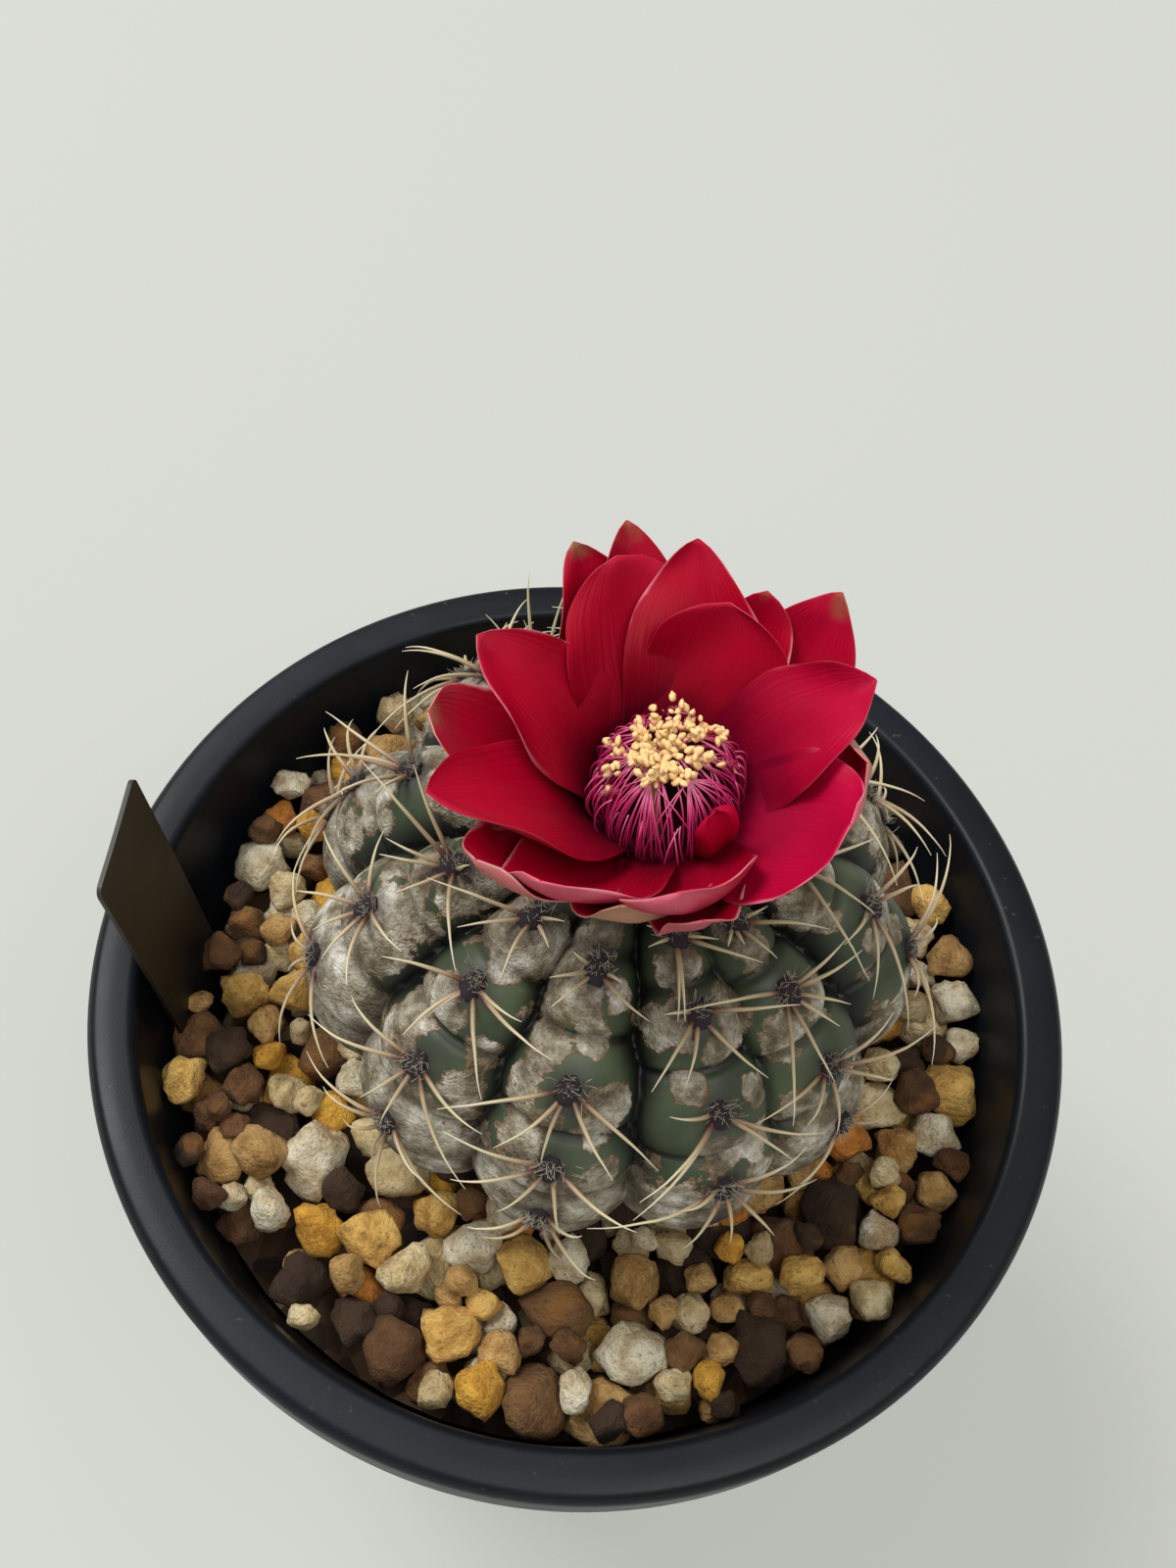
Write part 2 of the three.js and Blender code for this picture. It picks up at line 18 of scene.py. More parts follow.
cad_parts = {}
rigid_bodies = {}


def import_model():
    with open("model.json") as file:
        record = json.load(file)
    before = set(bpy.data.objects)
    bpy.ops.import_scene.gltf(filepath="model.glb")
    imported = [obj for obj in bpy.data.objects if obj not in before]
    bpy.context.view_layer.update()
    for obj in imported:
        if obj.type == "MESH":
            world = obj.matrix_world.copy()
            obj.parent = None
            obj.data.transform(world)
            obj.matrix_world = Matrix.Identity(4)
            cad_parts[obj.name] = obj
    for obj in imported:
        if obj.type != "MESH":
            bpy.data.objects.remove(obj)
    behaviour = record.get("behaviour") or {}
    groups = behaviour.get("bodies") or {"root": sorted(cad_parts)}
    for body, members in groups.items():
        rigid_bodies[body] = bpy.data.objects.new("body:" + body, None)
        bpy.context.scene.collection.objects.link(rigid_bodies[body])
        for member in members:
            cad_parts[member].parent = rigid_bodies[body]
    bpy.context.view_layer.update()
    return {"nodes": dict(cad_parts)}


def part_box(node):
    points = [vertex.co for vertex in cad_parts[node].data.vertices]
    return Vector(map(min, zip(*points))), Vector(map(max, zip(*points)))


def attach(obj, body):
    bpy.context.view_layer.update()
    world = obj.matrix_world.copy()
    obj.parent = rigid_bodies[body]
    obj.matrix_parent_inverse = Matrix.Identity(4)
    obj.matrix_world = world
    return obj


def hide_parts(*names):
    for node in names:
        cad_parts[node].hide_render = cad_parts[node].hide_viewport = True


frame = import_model()
MM = 0.001


def box_mm(node):
    """Lowest and highest corner of a part of the frame, in millimetres."""
    low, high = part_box(node)
    return low / MM, high / MM


pot_high = box_mm("pot")[1]
RIM_RADIUS = pot_high.x
RIM_HEIGHT = pot_high.z
print(f"frame: {len(frame['nodes'])} parts, rim {2 * RIM_RADIUS:.0f} mm wide at {RIM_HEIGHT:.0f} mm")

# %% [markdown]
# ## Small tools
# Every piece is a list of points and faces with a few values stored on the points, such as how
# far along a petal a point lies. A material can read those values, so its colours follow the
# shape. Colours are written as they look on a screen, and one function turns them to light.

# %% Colour and node tools


def linear(hex_colour):
    """An sRGB hex colour as linear red, green, blue and alpha."""
    channels = [int(hex_colour[i:i + 2], 16) / 255 for i in (0, 2, 4)]
    bright = [c / 12.92 if c <= 0.04045 else ((c + 0.055) / 1.055) ** 2.4 for c in channels]
    return (*bright, 1.0)


# The mix node keeps one set of sockets for each kind of value: these are the colour ones.
MIX_FACTOR, MIX_A, MIX_B, MIX_OUT = 0, 6, 7, 2


def main_output(node):
    """The output that is meant when only a node is named: its first, or a mix node's colour."""
    return node.outputs[MIX_OUT if node.bl_idname == "ShaderNodeMix" else 0]


def add_node(tree, kind, sockets=None, stops=None, **settings):
    """Add one node with its settings and ramp stops, and a value, a socket or a node for each input."""
    node = tree.nodes.new(kind)
    for name, value in settings.items():
        setattr(node, name, value)
    for number, (place, colour) in enumerate(stops or []):
        elements = node.color_ramp.elements
        element = elements[number] if number < len(elements) else elements.new(place)
        element.position = place
        element.color = linear(colour)
    for name, value in (sockets or {}).items():
        if isinstance(value, bpy.types.Node):
            value = main_output(value)
        if isinstance(value, bpy.types.NodeSocket):
            tree.links.new(value, node.inputs[name])
        else:
            node.inputs[name].default_value = value
    return node


def new_material(name, **shader_values):
    """A material with a plain shader; underscores in the names stand for spaces."""
    material = bpy.data.materials.new(name)
    material.use_nodes = True
    shader = material.node_tree.nodes["Principled BSDF"]
    for key, value in shader_values.items():
        shader.inputs[key.replace("_", " ")].default_value = value
    return material, material.node_tree


def end_finish(material, colour, rough, bump):
    """Link the last colour, roughness and bump nodes of a finish to its shader."""
    tree = material.node_tree
    inputs = tree.nodes["Principled BSDF"].inputs
    for node, name in ((colour, "Base Color"), (rough, "Roughness"), (bump, "Normal")):
        tree.links.new(main_output(node), inputs[name])
    return material


def stored_values(tree, *names):
    """The values that a piece stores on its points under these names, as sockets."""
    nodes = [add_node(tree, "ShaderNodeAttribute", attribute_name=name) for name in names]
    return [node.outputs["Fac"] for node in nodes]


# %% Mesh tools


def put_in_scene(name, data):
    """A new object in the scene, for a mesh, a light or a camera."""
    thing = bpy.data.objects.new(name, data)
    bpy.context.scene.collection.objects.link(thing)
    return thing


def from_bmesh(name, shape):
    """Turn a mesh that was edited point by point into an object in the scene."""
    mesh = bpy.data.meshes.new(name)
    shape.to_mesh(mesh)
    shape.free()
    return put_in_scene(name, mesh)


def build_piece(name, points, faces, material, values=None):
    """A smooth mesh object from points in millimetres, with values stored on its points."""
    mesh = bpy.data.meshes.new(name)
    mesh.from_pydata((np.asarray(points, float) * MM).tolist(), [], faces)
    for key, data in (values or {}).items():
        data = np.asarray(data, np.float32)
        kind, field = ("FLOAT", "value") if data.ndim == 1 else ("FLOAT_VECTOR", "vector")
        layer = mesh.attributes.new(key, kind, "POINT")
        layer.data.foreach_set(field, data.ravel())
    mesh.shade_smooth()
    if material:
        mesh.materials.append(material)
    return put_in_scene(name, mesh)


def grid_faces(rows, columns, wrap):
    """Faces of a grid of points stored row by row; with wrap the last column meets the first."""
    faces = []
    for row in range(rows - 1):
        for column in range(columns if wrap else columns - 1):
            a = row * columns + column
            b = row * columns + (column + 1) % columns
            faces.append((a, b, b + columns, a + columns))
    return faces


def end_faces(foot, top, last, columns):
    """Triangles that close a grid, from its first row to the point foot and its last to top."""
    faces = []
    for column in range(columns):
        following = (column + 1) % columns
        faces += [(foot, following, column), (top, last + column, last + following)]
    return faces


def smooth_step(low, high, value):
    """0 below low, 1 above high, with an even curve between them."""
    share = np.clip((np.asarray(value, float) - low) / (high - low), 0, 1)
    return share * share * (3 - 2 * share)


def rounded(outline, radius, steps=4):
    """Replace each inner corner of an outline by a small curve of about this radius."""
    path = [outline[0]]
    for before, corner, after in zip(outline, outline[1:], outline[2:]):
        before, corner, after = (np.array(p, float) for p in (before, corner, after))
        to_before = before - corner
        to_after = after - corner
        reach = min(radius, np.linalg.norm(to_before) / 2.2, np.linalg.norm(to_after) / 2.2)
        start = corner + to_before / np.linalg.norm(to_before) * reach
        end = corner + to_after / np.linalg.norm(to_after) * reach
        for step in range(steps + 1):
            t = step / steps
            path.append(tuple((1 - t) ** 2 * start + 2 * t * (1 - t) * corner + t * t * end))
    path.append(outline[-1])
    return path


def turned_piece(name, outline, columns, material):
    """Turn an outline of (radius, height) about the pot's axis; both ends lie on the axis."""
    angles = np.arange(columns) * 2 * math.pi / columns
    points = [(r * math.cos(a), r * math.sin(a), z) for r, z in outline[1:-1] for a in angles]
    faces = grid_faces(len(outline) - 2, columns, wrap=True)
    faces += end_faces(len(points), len(points) + 1, (len(outline) - 3) * columns, columns)
    points += [(0, 0, outline[0][1]), (0, 0, outline[-1][1])]
    return build_piece(name, points, faces, material)


def finish_shape(piece):
    """Keep the result of the piece's modifiers as a plain mesh, and take them off."""
    depsgraph = bpy.context.evaluated_depsgraph_get()
    mesh = bpy.data.meshes.new_from_object(piece.evaluated_get(depsgraph))
    piece.modifiers.clear()
    piece.data = mesh
    return piece


# %% [markdown]
# ## Camera and light
# The plant is looked at steeply from the front, close to, with the camera tipped a few degrees.
# The light is a soft window high on the left, a wider and weaker one high in front, and a pale
# room all round, so the inner wall of the pot on the left stays dark and the petals on the right
# catch the light.

# %% Camera
CAMERA_PLACE = Vector((0, -80.7, RIM_HEIGHT + 187.5))
AIM_POINT = Vector((-4.9, 26.8, RIM_HEIGHT))
CAMERA_ROLL = 9.5
LENS = 37.8

camera_data = bpy.data.cameras.new("camera")
camera_data.lens = LENS
camera_data.sensor_width = 36
camera_data.clip_start = 0.01
camera = put_in_scene("camera", camera_data)
camera.location = CAMERA_PLACE * MM
camera.rotation_mode = "QUATERNION"
towards = (AIM_POINT - CAMERA_PLACE).to_track_quat("-Z", "Y")
camera.rotation_quaternion = towards @ Quaternion((0, 0, 1), math.radians(CAMERA_ROLL))
bpy.context.scene.camera = camera

# %% Light
PLANT_MIDDLE = Vector((0, 0, 0.12))


def add_window(name, place, size, power):
    """A square soft light that faces the plant. Place and size in metres, power in watts."""
    light = bpy.data.lights.new(name, "AREA")
    light.size = size
    light.energy = power
    lamp = put_in_scene(name, light)
    lamp.location = place
    lamp.rotation_mode = "QUATERNION"
    lamp.rotation_quaternion = (PLANT_MIDDLE - Vector(place)).to_track_quat("-Z", "Y")


world = bpy.data.worlds.new("pale_room")
world.use_nodes = True
room = world.node_tree.nodes["Background"].inputs
room["Color"].default_value = linear("e4e2da")
room["Strength"].default_value = 0.46
bpy.context.scene.world = world
bpy.context.scene.view_settings.view_transform = "Standard"
add_window("window", (-1.1, 0.5, 1.9), 0.9, 40.0)
add_window("sky", (0.5, -0.6, 2.2), 1.4, 22.0)

# %% [markdown]
# ## Floor
# A plain matt sheet stands in for whatever the pot is put on. It isn't part of the plant.

# %% Floor
FLOOR_SIZE = 3000


def make_floor():
    """A flat pale sheet under the pot."""
    # A little light of its own stands in for the bright room behind it.
    material, _ = new_material(
        "matt_backdrop_paper",
        Roughness=0.95,
        Base_Color=linear("8c8e8a"),
        Emission_Color=linear("d0d2cc"),
        Emission_Strength=0.51,
    )
    half = FLOOR_SIZE / 2
    corners = [(-half, -half, 0), (half, -half, 0), (half, half, 0), (-half, half, 0)]
    floor = build_piece("floor", corners, [(0, 1, 2, 3)], material)


make_floor()

# %% [markdown]
# ## The pot
# A nursery pot is injection moulded in polypropylene: one thin wall, a rolled rim that hangs
# down outside as a skirt, and a raised floor with drain holes. It could be sculpted from a
# cylinder, but its section is what the mould maker draws, so the section is drawn here too,
# its corners are rounded, and it is turned about the axis.

# %% Pot section
RIM_WIDTH = 5.8
RIM_SKIRT = 10
RIM_ROUND = 2.2
POT_WALL = 1.3
BASE_RADIUS = 41.3
FLOOR_THICKNESS = 1.6
FOOT_HEIGHT = 3
FOOT_WIDTH = 5
HUB_RADIUS = 16
DRAIN_HOLES = 8
DRAIN_HOLE_RADIUS = 3.5
POT_COLUMNS = 180


def inner_wall_radius(height):
    """The wall tapers straight from the rim to the floor."""
    foot = BASE_RADIUS - POT_WALL
    rise = (height - FLOOR_THICKNESS) / (RIM_HEIGHT - FLOOR_THICKNESS)
    return foot + (RIM_RADIUS - RIM_WIDTH - foot) * rise


def pot_outline():
    """The moulding's section, from the middle of the underside round to the floor's top."""
    shelf = RIM_HEIGHT - RIM_ROUND - POT_WALL
    skirt_foot = RIM_HEIGHT - RIM_SKIRT
    skirt_inside = RIM_RADIUS - POT_WALL
    foot_inside = BASE_RADIUS - FOOT_WIDTH
    inner_edge = RIM_RADIUS - RIM_WIDTH
    floor_top = FOOT_HEIGHT + FLOOR_THICKNESS
    under = [(0, 0), (HUB_RADIUS, 0), (HUB_RADIUS, FOOT_HEIGHT), (foot_inside, FOOT_HEIGHT)]
    outside = [
        (foot_inside, 0),
        (BASE_RADIUS, 0),
        (inner_wall_radius(shelf) + POT_WALL, shelf),
        (skirt_inside, shelf),
        (skirt_inside, skirt_foot),
        (RIM_RADIUS - 0.3, skirt_foot),
        (RIM_RADIUS, RIM_HEIGHT - 0.6 * RIM_ROUND),
        (RIM_RADIUS - 0.4 * RIM_ROUND, RIM_HEIGHT - 0.15),
        (RIM_RADIUS - 1.2 * RIM_ROUND, RIM_HEIGHT),
        (inner_edge + 0.7, RIM_HEIGHT - 0.1),
        (inner_edge, RIM_HEIGHT - 0.8),
    ]
    inside = [
        (inner_wall_radius(FLOOR_THICKNESS), FLOOR_THICKNESS),
        (foot_inside + FLOOR_THICKNESS, FLOOR_THICKNESS),
        (foot_inside + FLOOR_THICKNESS, floor_top),
        (HUB_RADIUS - FLOOR_THICKNESS, floor_top),
        (HUB_RADIUS - FLOOR_THICKNESS, FLOOR_THICKNESS),
        (0, FLOOR_THICKNESS),
    ]
    return rounded(under + outside + inside, 0.6)


# %% Pot material


def moulded_polypropylene():
    """Dark slate polypropylene from a fine-grained mould: satin, a little scuffed and dusty."""
    material, tree = new_material("moulded_polypropylene", IOR=1.49, Specular_IOR_Level=0.22)
    place = add_node(tree, "ShaderNodeTexCoord").outputs["Object"]
    cloud = add_node(
        tree, "ShaderNodeTexNoise", {"Vector": place, "Scale": 45, "Detail": 6, "Roughness": 0.6}
    )
    dust = add_node(
        tree, "ShaderNodeValToRGB", {"Fac": cloud}, [(0.35, "0d1116"), (0.6, "12171d"), (0.78, "1b2128")]
    )
    speck = add_node(
        tree, "ShaderNodeTexNoise", {"Vector": place, "Scale": 900, "Detail": 2, "Roughness": 0.5}
    )
    speck_mask = add_node(
        tree,
        "ShaderNodeMapRange",
        {"Value": speck, "From Min": 0.7, "From Max": 0.8, "To Max": 0.35},
        interpolation_type="SMOOTHSTEP",
    )
    colour = add_node(
        tree,
        "ShaderNodeMix",
        {MIX_FACTOR: speck_mask, MIX_A: dust, MIX_B: linear("5d5a54")},
        data_type="RGBA",
    )
    rough = add_node(
        tree,
        "ShaderNodeMapRange",
        {"Value": cloud, "From Min": 0.3, "From Max": 0.7, "To Min": 0.36, "To Max": 0.5},
    )
    # The mould's grain is about 0.1 mm; it is drawn at 0.25 mm so that it shows.
    grain = add_node(
        tree, "ShaderNodeTexNoise", {"Vector": place, "Scale": 4000, "Detail": 2, "Roughness": 0.6}
    )
    bump = add_node(tree, "ShaderNodeBump", {"Strength": 0.12, "Distance": 0.0001, "Height": grain})
    return end_finish(material, colour, rough, bump)


# %% Turn the pot and drill it


def drain_cutters():
    """Eight short round bars, one for each drain hole, as one mesh."""
    ring = (HUB_RADIUS + BASE_RADIUS - FOOT_WIDTH) / 2
    cutter = bmesh.new()
    for hole in range(DRAIN_HOLES):
        angle = hole * 2 * math.pi / DRAIN_HOLES
        middle = FOOT_HEIGHT + FLOOR_THICKNESS / 2
        place = Matrix.Translation(Vector((ring * math.cos(angle), ring * math.sin(angle), middle)))
        bmesh.ops.create_cone(
            cutter,
            cap_ends=True,
            segments=40,
            radius1=DRAIN_HOLE_RADIUS,
            radius2=DRAIN_HOLE_RADIUS,
            depth=4 * FLOOR_THICKNESS,
            matrix=place,
        )
    bmesh.ops.scale(cutter, vec=(MM, MM, MM), verts=cutter.verts)
    return from_bmesh("drain_cutters", cutter)


def make_pot():
    """The turned moulding with its drain holes."""
    pot = turned_piece("nursery_pot", pot_outline(), POT_COLUMNS, moulded_polypropylene())
    tool = drain_cutters()
    drill = pot.modifiers.new("drill", "BOOLEAN")
    drill.object = tool
    drill.operation = "DIFFERENCE"
    finish_shape(pot)
    bpy.data.objects.remove(tool)
    pot.data.set_sharp_from_angle(angle=math.radians(40))
    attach(pot, "root")
    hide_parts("pot")
    print(f"pot: {len(pot.data.polygons)} faces")


make_pot()

# %% [markdown]
# ## The potting mix
# The mix is buried under the grit and is seen only through the drain holes, so the solid from
# the frame stays, with a crumbly dark finish: damp fired clay and bark crumbs of 2 to 4 mm.

# %% Potting mix finish


def damp_potting_mix():
    """Dark crumbs with paler grit between them."""
    material, tree = new_material("damp_potting_mix", IOR=1.4)
    place = add_node(tree, "ShaderNodeTexCoord").outputs["Object"]
    crumbs = add_node(tree, "ShaderNodeTexVoronoi", {"Vector": place, "Scale": 330})
    tint = add_node(
        tree,
        "ShaderNodeValToRGB",
        {"Fac": crumbs.outputs["Color"]},
        [(0.1, "1f150e"), (0.5, "3a281b"), (0.8, "5d452f"), (0.95, "8d7a5c")],
    )
    bump = add_node(
        tree,
        "ShaderNodeBump",
        {"Strength": 0.9, "Distance": 0.0012, "Height": crumbs.outputs["Distance"]},
        invert=True,
    )
    rough = add_node(
        tree, "ShaderNodeMapRange", {"Value": crumbs.outputs["Color"], "To Min": 0.8, "To Max": 0.98}
    )
    return end_finish(material, tint, rough, bump)


mix_mesh = frame["nodes"]["potting_mix"].data
mix_mesh.materials.clear()
mix_mesh.materials.append(damp_potting_mix())
print("potting mix: finish changed, shape from the frame")

# %% [markdown]
# ## Things that repeat
# Spines, hairs and filaments are all tapered threads; stones, felt pads and anthers are all
# copies of a few shapes. Modelling each by hand would take days, so two small node trees make
# them: one sweeps a round section along every path it is given, the other puts copies on points.
# The paths and points are worked out first, and carry thickness, turn and size as attributes.

# %% Node trees for threads and copies


def new_tree(name, inputs):
    """An empty geometry tree with its named inputs. Returns it and the node that holds them."""
    tree = bpy.data.node_groups.new(name, "GeometryNodeTree")
    tree.interface.new_socket("Geometry", in_out="INPUT", socket_type="NodeSocketGeometry")
    tree.interface.new_socket("Geometry", in_out="OUTPUT", socket_type="NodeSocketGeometry")
    for label, kind in inputs:
        tree.interface.new_socket(label, in_out="INPUT", socket_type=kind)
    return tree, tree.nodes.new("NodeGroupInput").outputs


def end_tree(tree, shape, material):
    """The last steps of both trees: make the copies real and give them their material."""
    real = add_node(tree, "GeometryNodeRealizeInstances", {"Geometry": shape})
    painted = add_node(tree, "GeometryNodeSetMaterial", {"Geometry": real, "Material": material})
    add_node(tree, "NodeGroupOutput", {"Geometry": painted})


def threads_tree():
    """Sweeps a round section along every path, as thick as its points say, a little crooked."""
    inputs = [
        ("Thickness", "NodeSocketFloat"),
        ("Sides", "NodeSocketInt"),
        ("Crookedness", "NodeSocketFloat"),
        ("Seed", "NodeSocketFloat"),
        ("Material", "NodeSocketMaterial"),
    ]
    tree, given = new_tree("tapered_threads", inputs)
    along = add_node(tree, "GeometryNodeInputNamedAttribute", {"Name": "along"})
    wander = add_node(
        tree,
        "ShaderNodeTexNoise",
        {"W": given["Seed"], "Scale": 160.0, "Detail": 1.0},
        noise_dimensions="4D",
    )
    centred = add_node(
        tree,
        "ShaderNodeVectorMath",
        {0: wander.outputs["Color"], 1: (0.5, 0.5, 0.5)},
        operation="SUBTRACT",
    )
    amount = add_node(tree, "ShaderNodeMath", {0: along, 1: given["Crookedness"]}, operation="MULTIPLY")
    shift = add_node(tree, "ShaderNodeVectorMath", {0: centred, "Scale": amount}, operation="SCALE")
    bent = add_node(tree, "GeometryNodeSetPosition", {"Geometry": given["Geometry"], "Offset": shift})
    curve = add_node(tree, "GeometryNodeMeshToCurve", {"Mesh": bent})
    section = add_node(
        tree, "GeometryNodeCurvePrimitiveCircle", {"Resolution": given["Sides"], "Radius": 1.0}
    )
    stored = add_node(tree, "GeometryNodeInputNamedAttribute", {"Name": "thickness"})
    thick = add_node(tree, "ShaderNodeMath", {0: stored, 1: given["Thickness"]}, operation="MULTIPLY")
    tube = add_node(
        tree,
        "GeometryNodeCurveToMesh",
        {"Curve": curve, "Profile Curve": section, "Scale": thick, "Fill Caps": True},
    )
    end_tree(tree, tube, given["Material"])
    return tree


def copies_tree():
    """Puts one shape of a collection on every point, turned and sized as the point says."""
    inputs = [("Shapes", "NodeSocketCollection"), ("Material", "NodeSocketMaterial")]
    tree, given = new_tree("turned_copies", inputs)
    shapes = add_node(
        tree,
        "GeometryNodeCollectionInfo",
        {"Collection": given["Shapes"], "Separate Children": True, "Reset Children": True},
    )
    pick = add_node(tree, "GeometryNodeInputNamedAttribute", {"Name": "shape"}, data_type="FLOAT")
    turn = add_node(tree, "GeometryNodeInputNamedAttribute", {"Name": "turn"}, data_type="FLOAT_VECTOR")
    size = add_node(tree, "GeometryNodeInputNamedAttribute", {"Name": "size"}, data_type="FLOAT_VECTOR")
    rotation = add_node(tree, "FunctionNodeEulerToRotation", {"Euler": turn})
    copies = add_node(
        tree,
        "GeometryNodeInstanceOnPoints",
        {
            "Points": given["Geometry"],
            "Instance": shapes,
            "Pick Instance": True,
            "Instance Index": pick,
            "Rotation": rotation,
            "Scale": size,
        },
    )
    end_tree(tree, copies, given["Material"])
    return tree


THREADS = threads_tree()
COPIES = copies_tree()


def grow(carrier, tree, **inputs):
    """Run a tree on the paths or points of a piece and keep the result as its plain mesh."""
    modifier = carrier.modifiers.new(tree.name, "NODES")
    modifier.node_group = tree
    for item in tree.interface.items_tree:
        if item.in_out == "INPUT" and item.name in inputs:
            modifier[item.identifier] = inputs[item.name]
    finish_shape(carrier)
    carrier.data.shade_smooth()
    return carrier


def grow_threads(name, paths, material, thickness=1.0, sides=7, crookedness=0.0, seed=0.0):
    """Tapered threads from paths, each a list of (point, radius) in millimetres."""
    points, edges, along, radii = [], [], [], []
    for path in paths:
        start = len(points)
        for step, (point, radius) in enumerate(path):
            points.append(point)
            radii.append(radius * MM)
            along.append(step / (len(path) - 1))
        edges += [(start + i, start + i + 1) for i in range(len(path) - 1)]
    mesh = bpy.data.meshes.new(name)
    mesh.from_pydata((np.array(points) * MM).tolist(), edges, [])
    for key, data in (("along", along), ("thickness", radii)):
        mesh.attributes.new(key, "FLOAT", "POINT").data.foreach_set("value", data)
    carrier = put_in_scene(name, mesh)
    return grow(
        carrier,
        THREADS,
        Thickness=thickness,
        Sides=sides,
        Crookedness=crookedness * MM,
        Seed=seed,
        Material=material,
    )


def grow_copies(name, points, shapes, material, values):
    """Copies of some shapes on points; the shapes are thrown away afterwards."""
    store = bpy.data.collections.new(name + "_shapes")
    for shape in shapes:
        bpy.context.scene.collection.objects.unlink(shape)
        store.objects.link(shape)
    carrier = build_piece(name, points, [], None, values)
    grow(carrier, COPIES, Shapes=store, Material=material)
    for shape in shapes:
        bpy.data.objects.remove(shape)
    bpy.data.collections.remove(store)
    return carrier


def turn_to(axis, forward):
    """Euler angles that turn local Z to axis and local Y as near forward as it can."""
    z = Vector(axis).normalized()
    x = Vector(forward).cross(z).normalized()
    y = z.cross(x)
    return tuple(Matrix((x, y, z)).transposed().to_euler())


def lumpy_grains(name, subdivisions, swell, lumps, apart):
    """Two small round shapes with a lumpy skin, to be copied."""
    shapes = []
    for number in range(2):
        grain = bmesh.new()
        bmesh.ops.create_icosphere(grain, subdivisions=subdivisions, radius=MM)
        for vertex in grain.verts:
            place = vertex.co * lumps + Vector((number * apart, 0, 0))
            vertex.co *= 1 + swell * noise.noise(place)
        shapes.append(from_bmesh(f"{name}_{number}", grain))
    return shapes


print(f"trees: {THREADS.name}, {COPIES.name}")

# %% [markdown]
# ## The body
# A globe cactus is a flattened ball whose ribs are rows of bumps, one bump round each areole,
# the woolly pad the spines grow from. Sculpting it would give no control over the rows, and a
# bump texture would leave the outline smooth. So a fine grid is wrapped on the ball and every
# point is raised by the bump it lies on: highest near the areole, falling to a deep groove
# between two ribs and to a thin crease between two bumps of the same rib.

# %% Areoles of each rib
# Azimuth of the rib, then how far each areole lies from the crown, both in degrees.
RIB_AREOLES = [
    (300, [22, 36, 56, 76]),
    (326, [25, 41, 60, 79]),
    (1, [31, 50, 70]),
    (34, [24, 42, 61, 80]),
    (66, [33, 53, 73]),
    (99, [25, 43, 62, 81]),
    (133, [32, 52, 72]),
    (170, [26, 46, 65, 84]),
    (204, [33, 53, 75]),
    (237, [25, 41, 61, 82]),
    (268, [28, 50, 68, 86]),
]
OLD_AREOLE_GAP = 19
CROWN_STEP = 11
YOUNG_LIMIT = 30
RIB_HALF_ANGLE = math.pi / len(RIB_AREOLES)

stem_low, stem_high = box_mm("stem")
BODY_RADIUS = (stem_high.x - stem_low.x) / 2
BODY_MIDDLE = 119
BODY_CENTRE = Vector(((stem_low.x + stem_high.x) / 2, (stem_low.y + stem_high.y) / 2, BODY_MIDDLE))
BODY_HALF_HEIGHT = 28
BUMP_HEIGHT = 3
CREASE_DEPTH = 0.9
CROWN_DIP = 2.5

bumps = []
for azimuth, polars in RIB_AREOLES:
    bumps.append((azimuth, polars[0] - CROWN_STEP))
    bumps += [(azimuth, polar) for polar in polars]
    bumps += [(azimuth, polars[-1] + OLD_AREOLE_GAP * n) for n in (1, 2, 3)]
bumps = np.radians(bumps)
print(f"body: {len(bumps)} bumps on {len(RIB_AREOLES)} ribs, {2 * BODY_RADIUS:.0f} mm wide")

# %% Shape of the body
# Length of one radian along a rib, and how far a bump reaches up and down it, in millimetres.
ARC_LENGTH = 30.0
BUMP_UP, BUMP_DOWN = 9.4, 7.0
# The top of a bump lies this far below its areole.
BUMP_DROP = 1.5
RIB_FILL = 0.87
CREASE_WIDTH = 0.14
GROOVE_FLOOR = -1.05


def angle_between(a, b):
    """The signed difference of two azimuths, from -180 to 180 degrees, in radians."""
    return (a - b + math.pi) % (2 * math.pi) - math.pi


def bump_field(azimuth, polar):
    """How high a point lies on its bump, 1 at the top, and how near it is to a crease."""
    best = np.full(azimuth.shape, -3.0)
    second = np.full(azimuth.shape, -3.0)
    for bump_azimuth, bump_polar in bumps:
        sideways = np.abs(angle_between(azimuth, bump_azimuth)) / (RIB_FILL * RIB_HALF_ANGLE)
        south = (polar - bump_polar) * ARC_LENGTH - BUMP_DROP
        lengthways = south / np.where(south > 0, BUMP_DOWN, BUMP_UP)
        height = 1 - sideways**2.2 - lengthways**2
        second = np.maximum(second, np.minimum(best, height))
        best = np.maximum(best, height)
    crease = np.exp(-(((best - second) / CREASE_WIDTH) ** 2))
    return np.maximum(best, GROOVE_FLOOR), crease


def body_points(azimuth, polar):
    """Points of the skin in millimetres, with their height on the bump and their crease."""
    azimuth = np.asarray(azimuth, float)
    polar = np.asarray(polar, float)
    height, crease = bump_field(azimuth, polar)
    ribbed = smooth_step(0.08, 0.42, polar) * (1 - smooth_step(2.1, 2.7, polar))
    raised = ribbed * (BUMP_HEIGHT * height - CREASE_DEPTH * crease)
    raised -= CROWN_DIP * np.exp(-((polar / 0.25) ** 2))
    wide = BODY_RADIUS - BUMP_HEIGHT
    tall = BODY_HALF_HEIGHT - BUMP_HEIGHT
    sine, cosine = np.sin(polar), np.cos(polar)
    steep = cosine * wide / tall
    around = wide * sine + raised * sine / np.hypot(sine, steep)
    up = tall * cosine + raised * steep / np.hypot(sine, steep)
    points = np.stack([around * np.cos(azimuth), around * np.sin(azimuth), up], -1)
    return points + np.array(BODY_CENTRE), height, crease


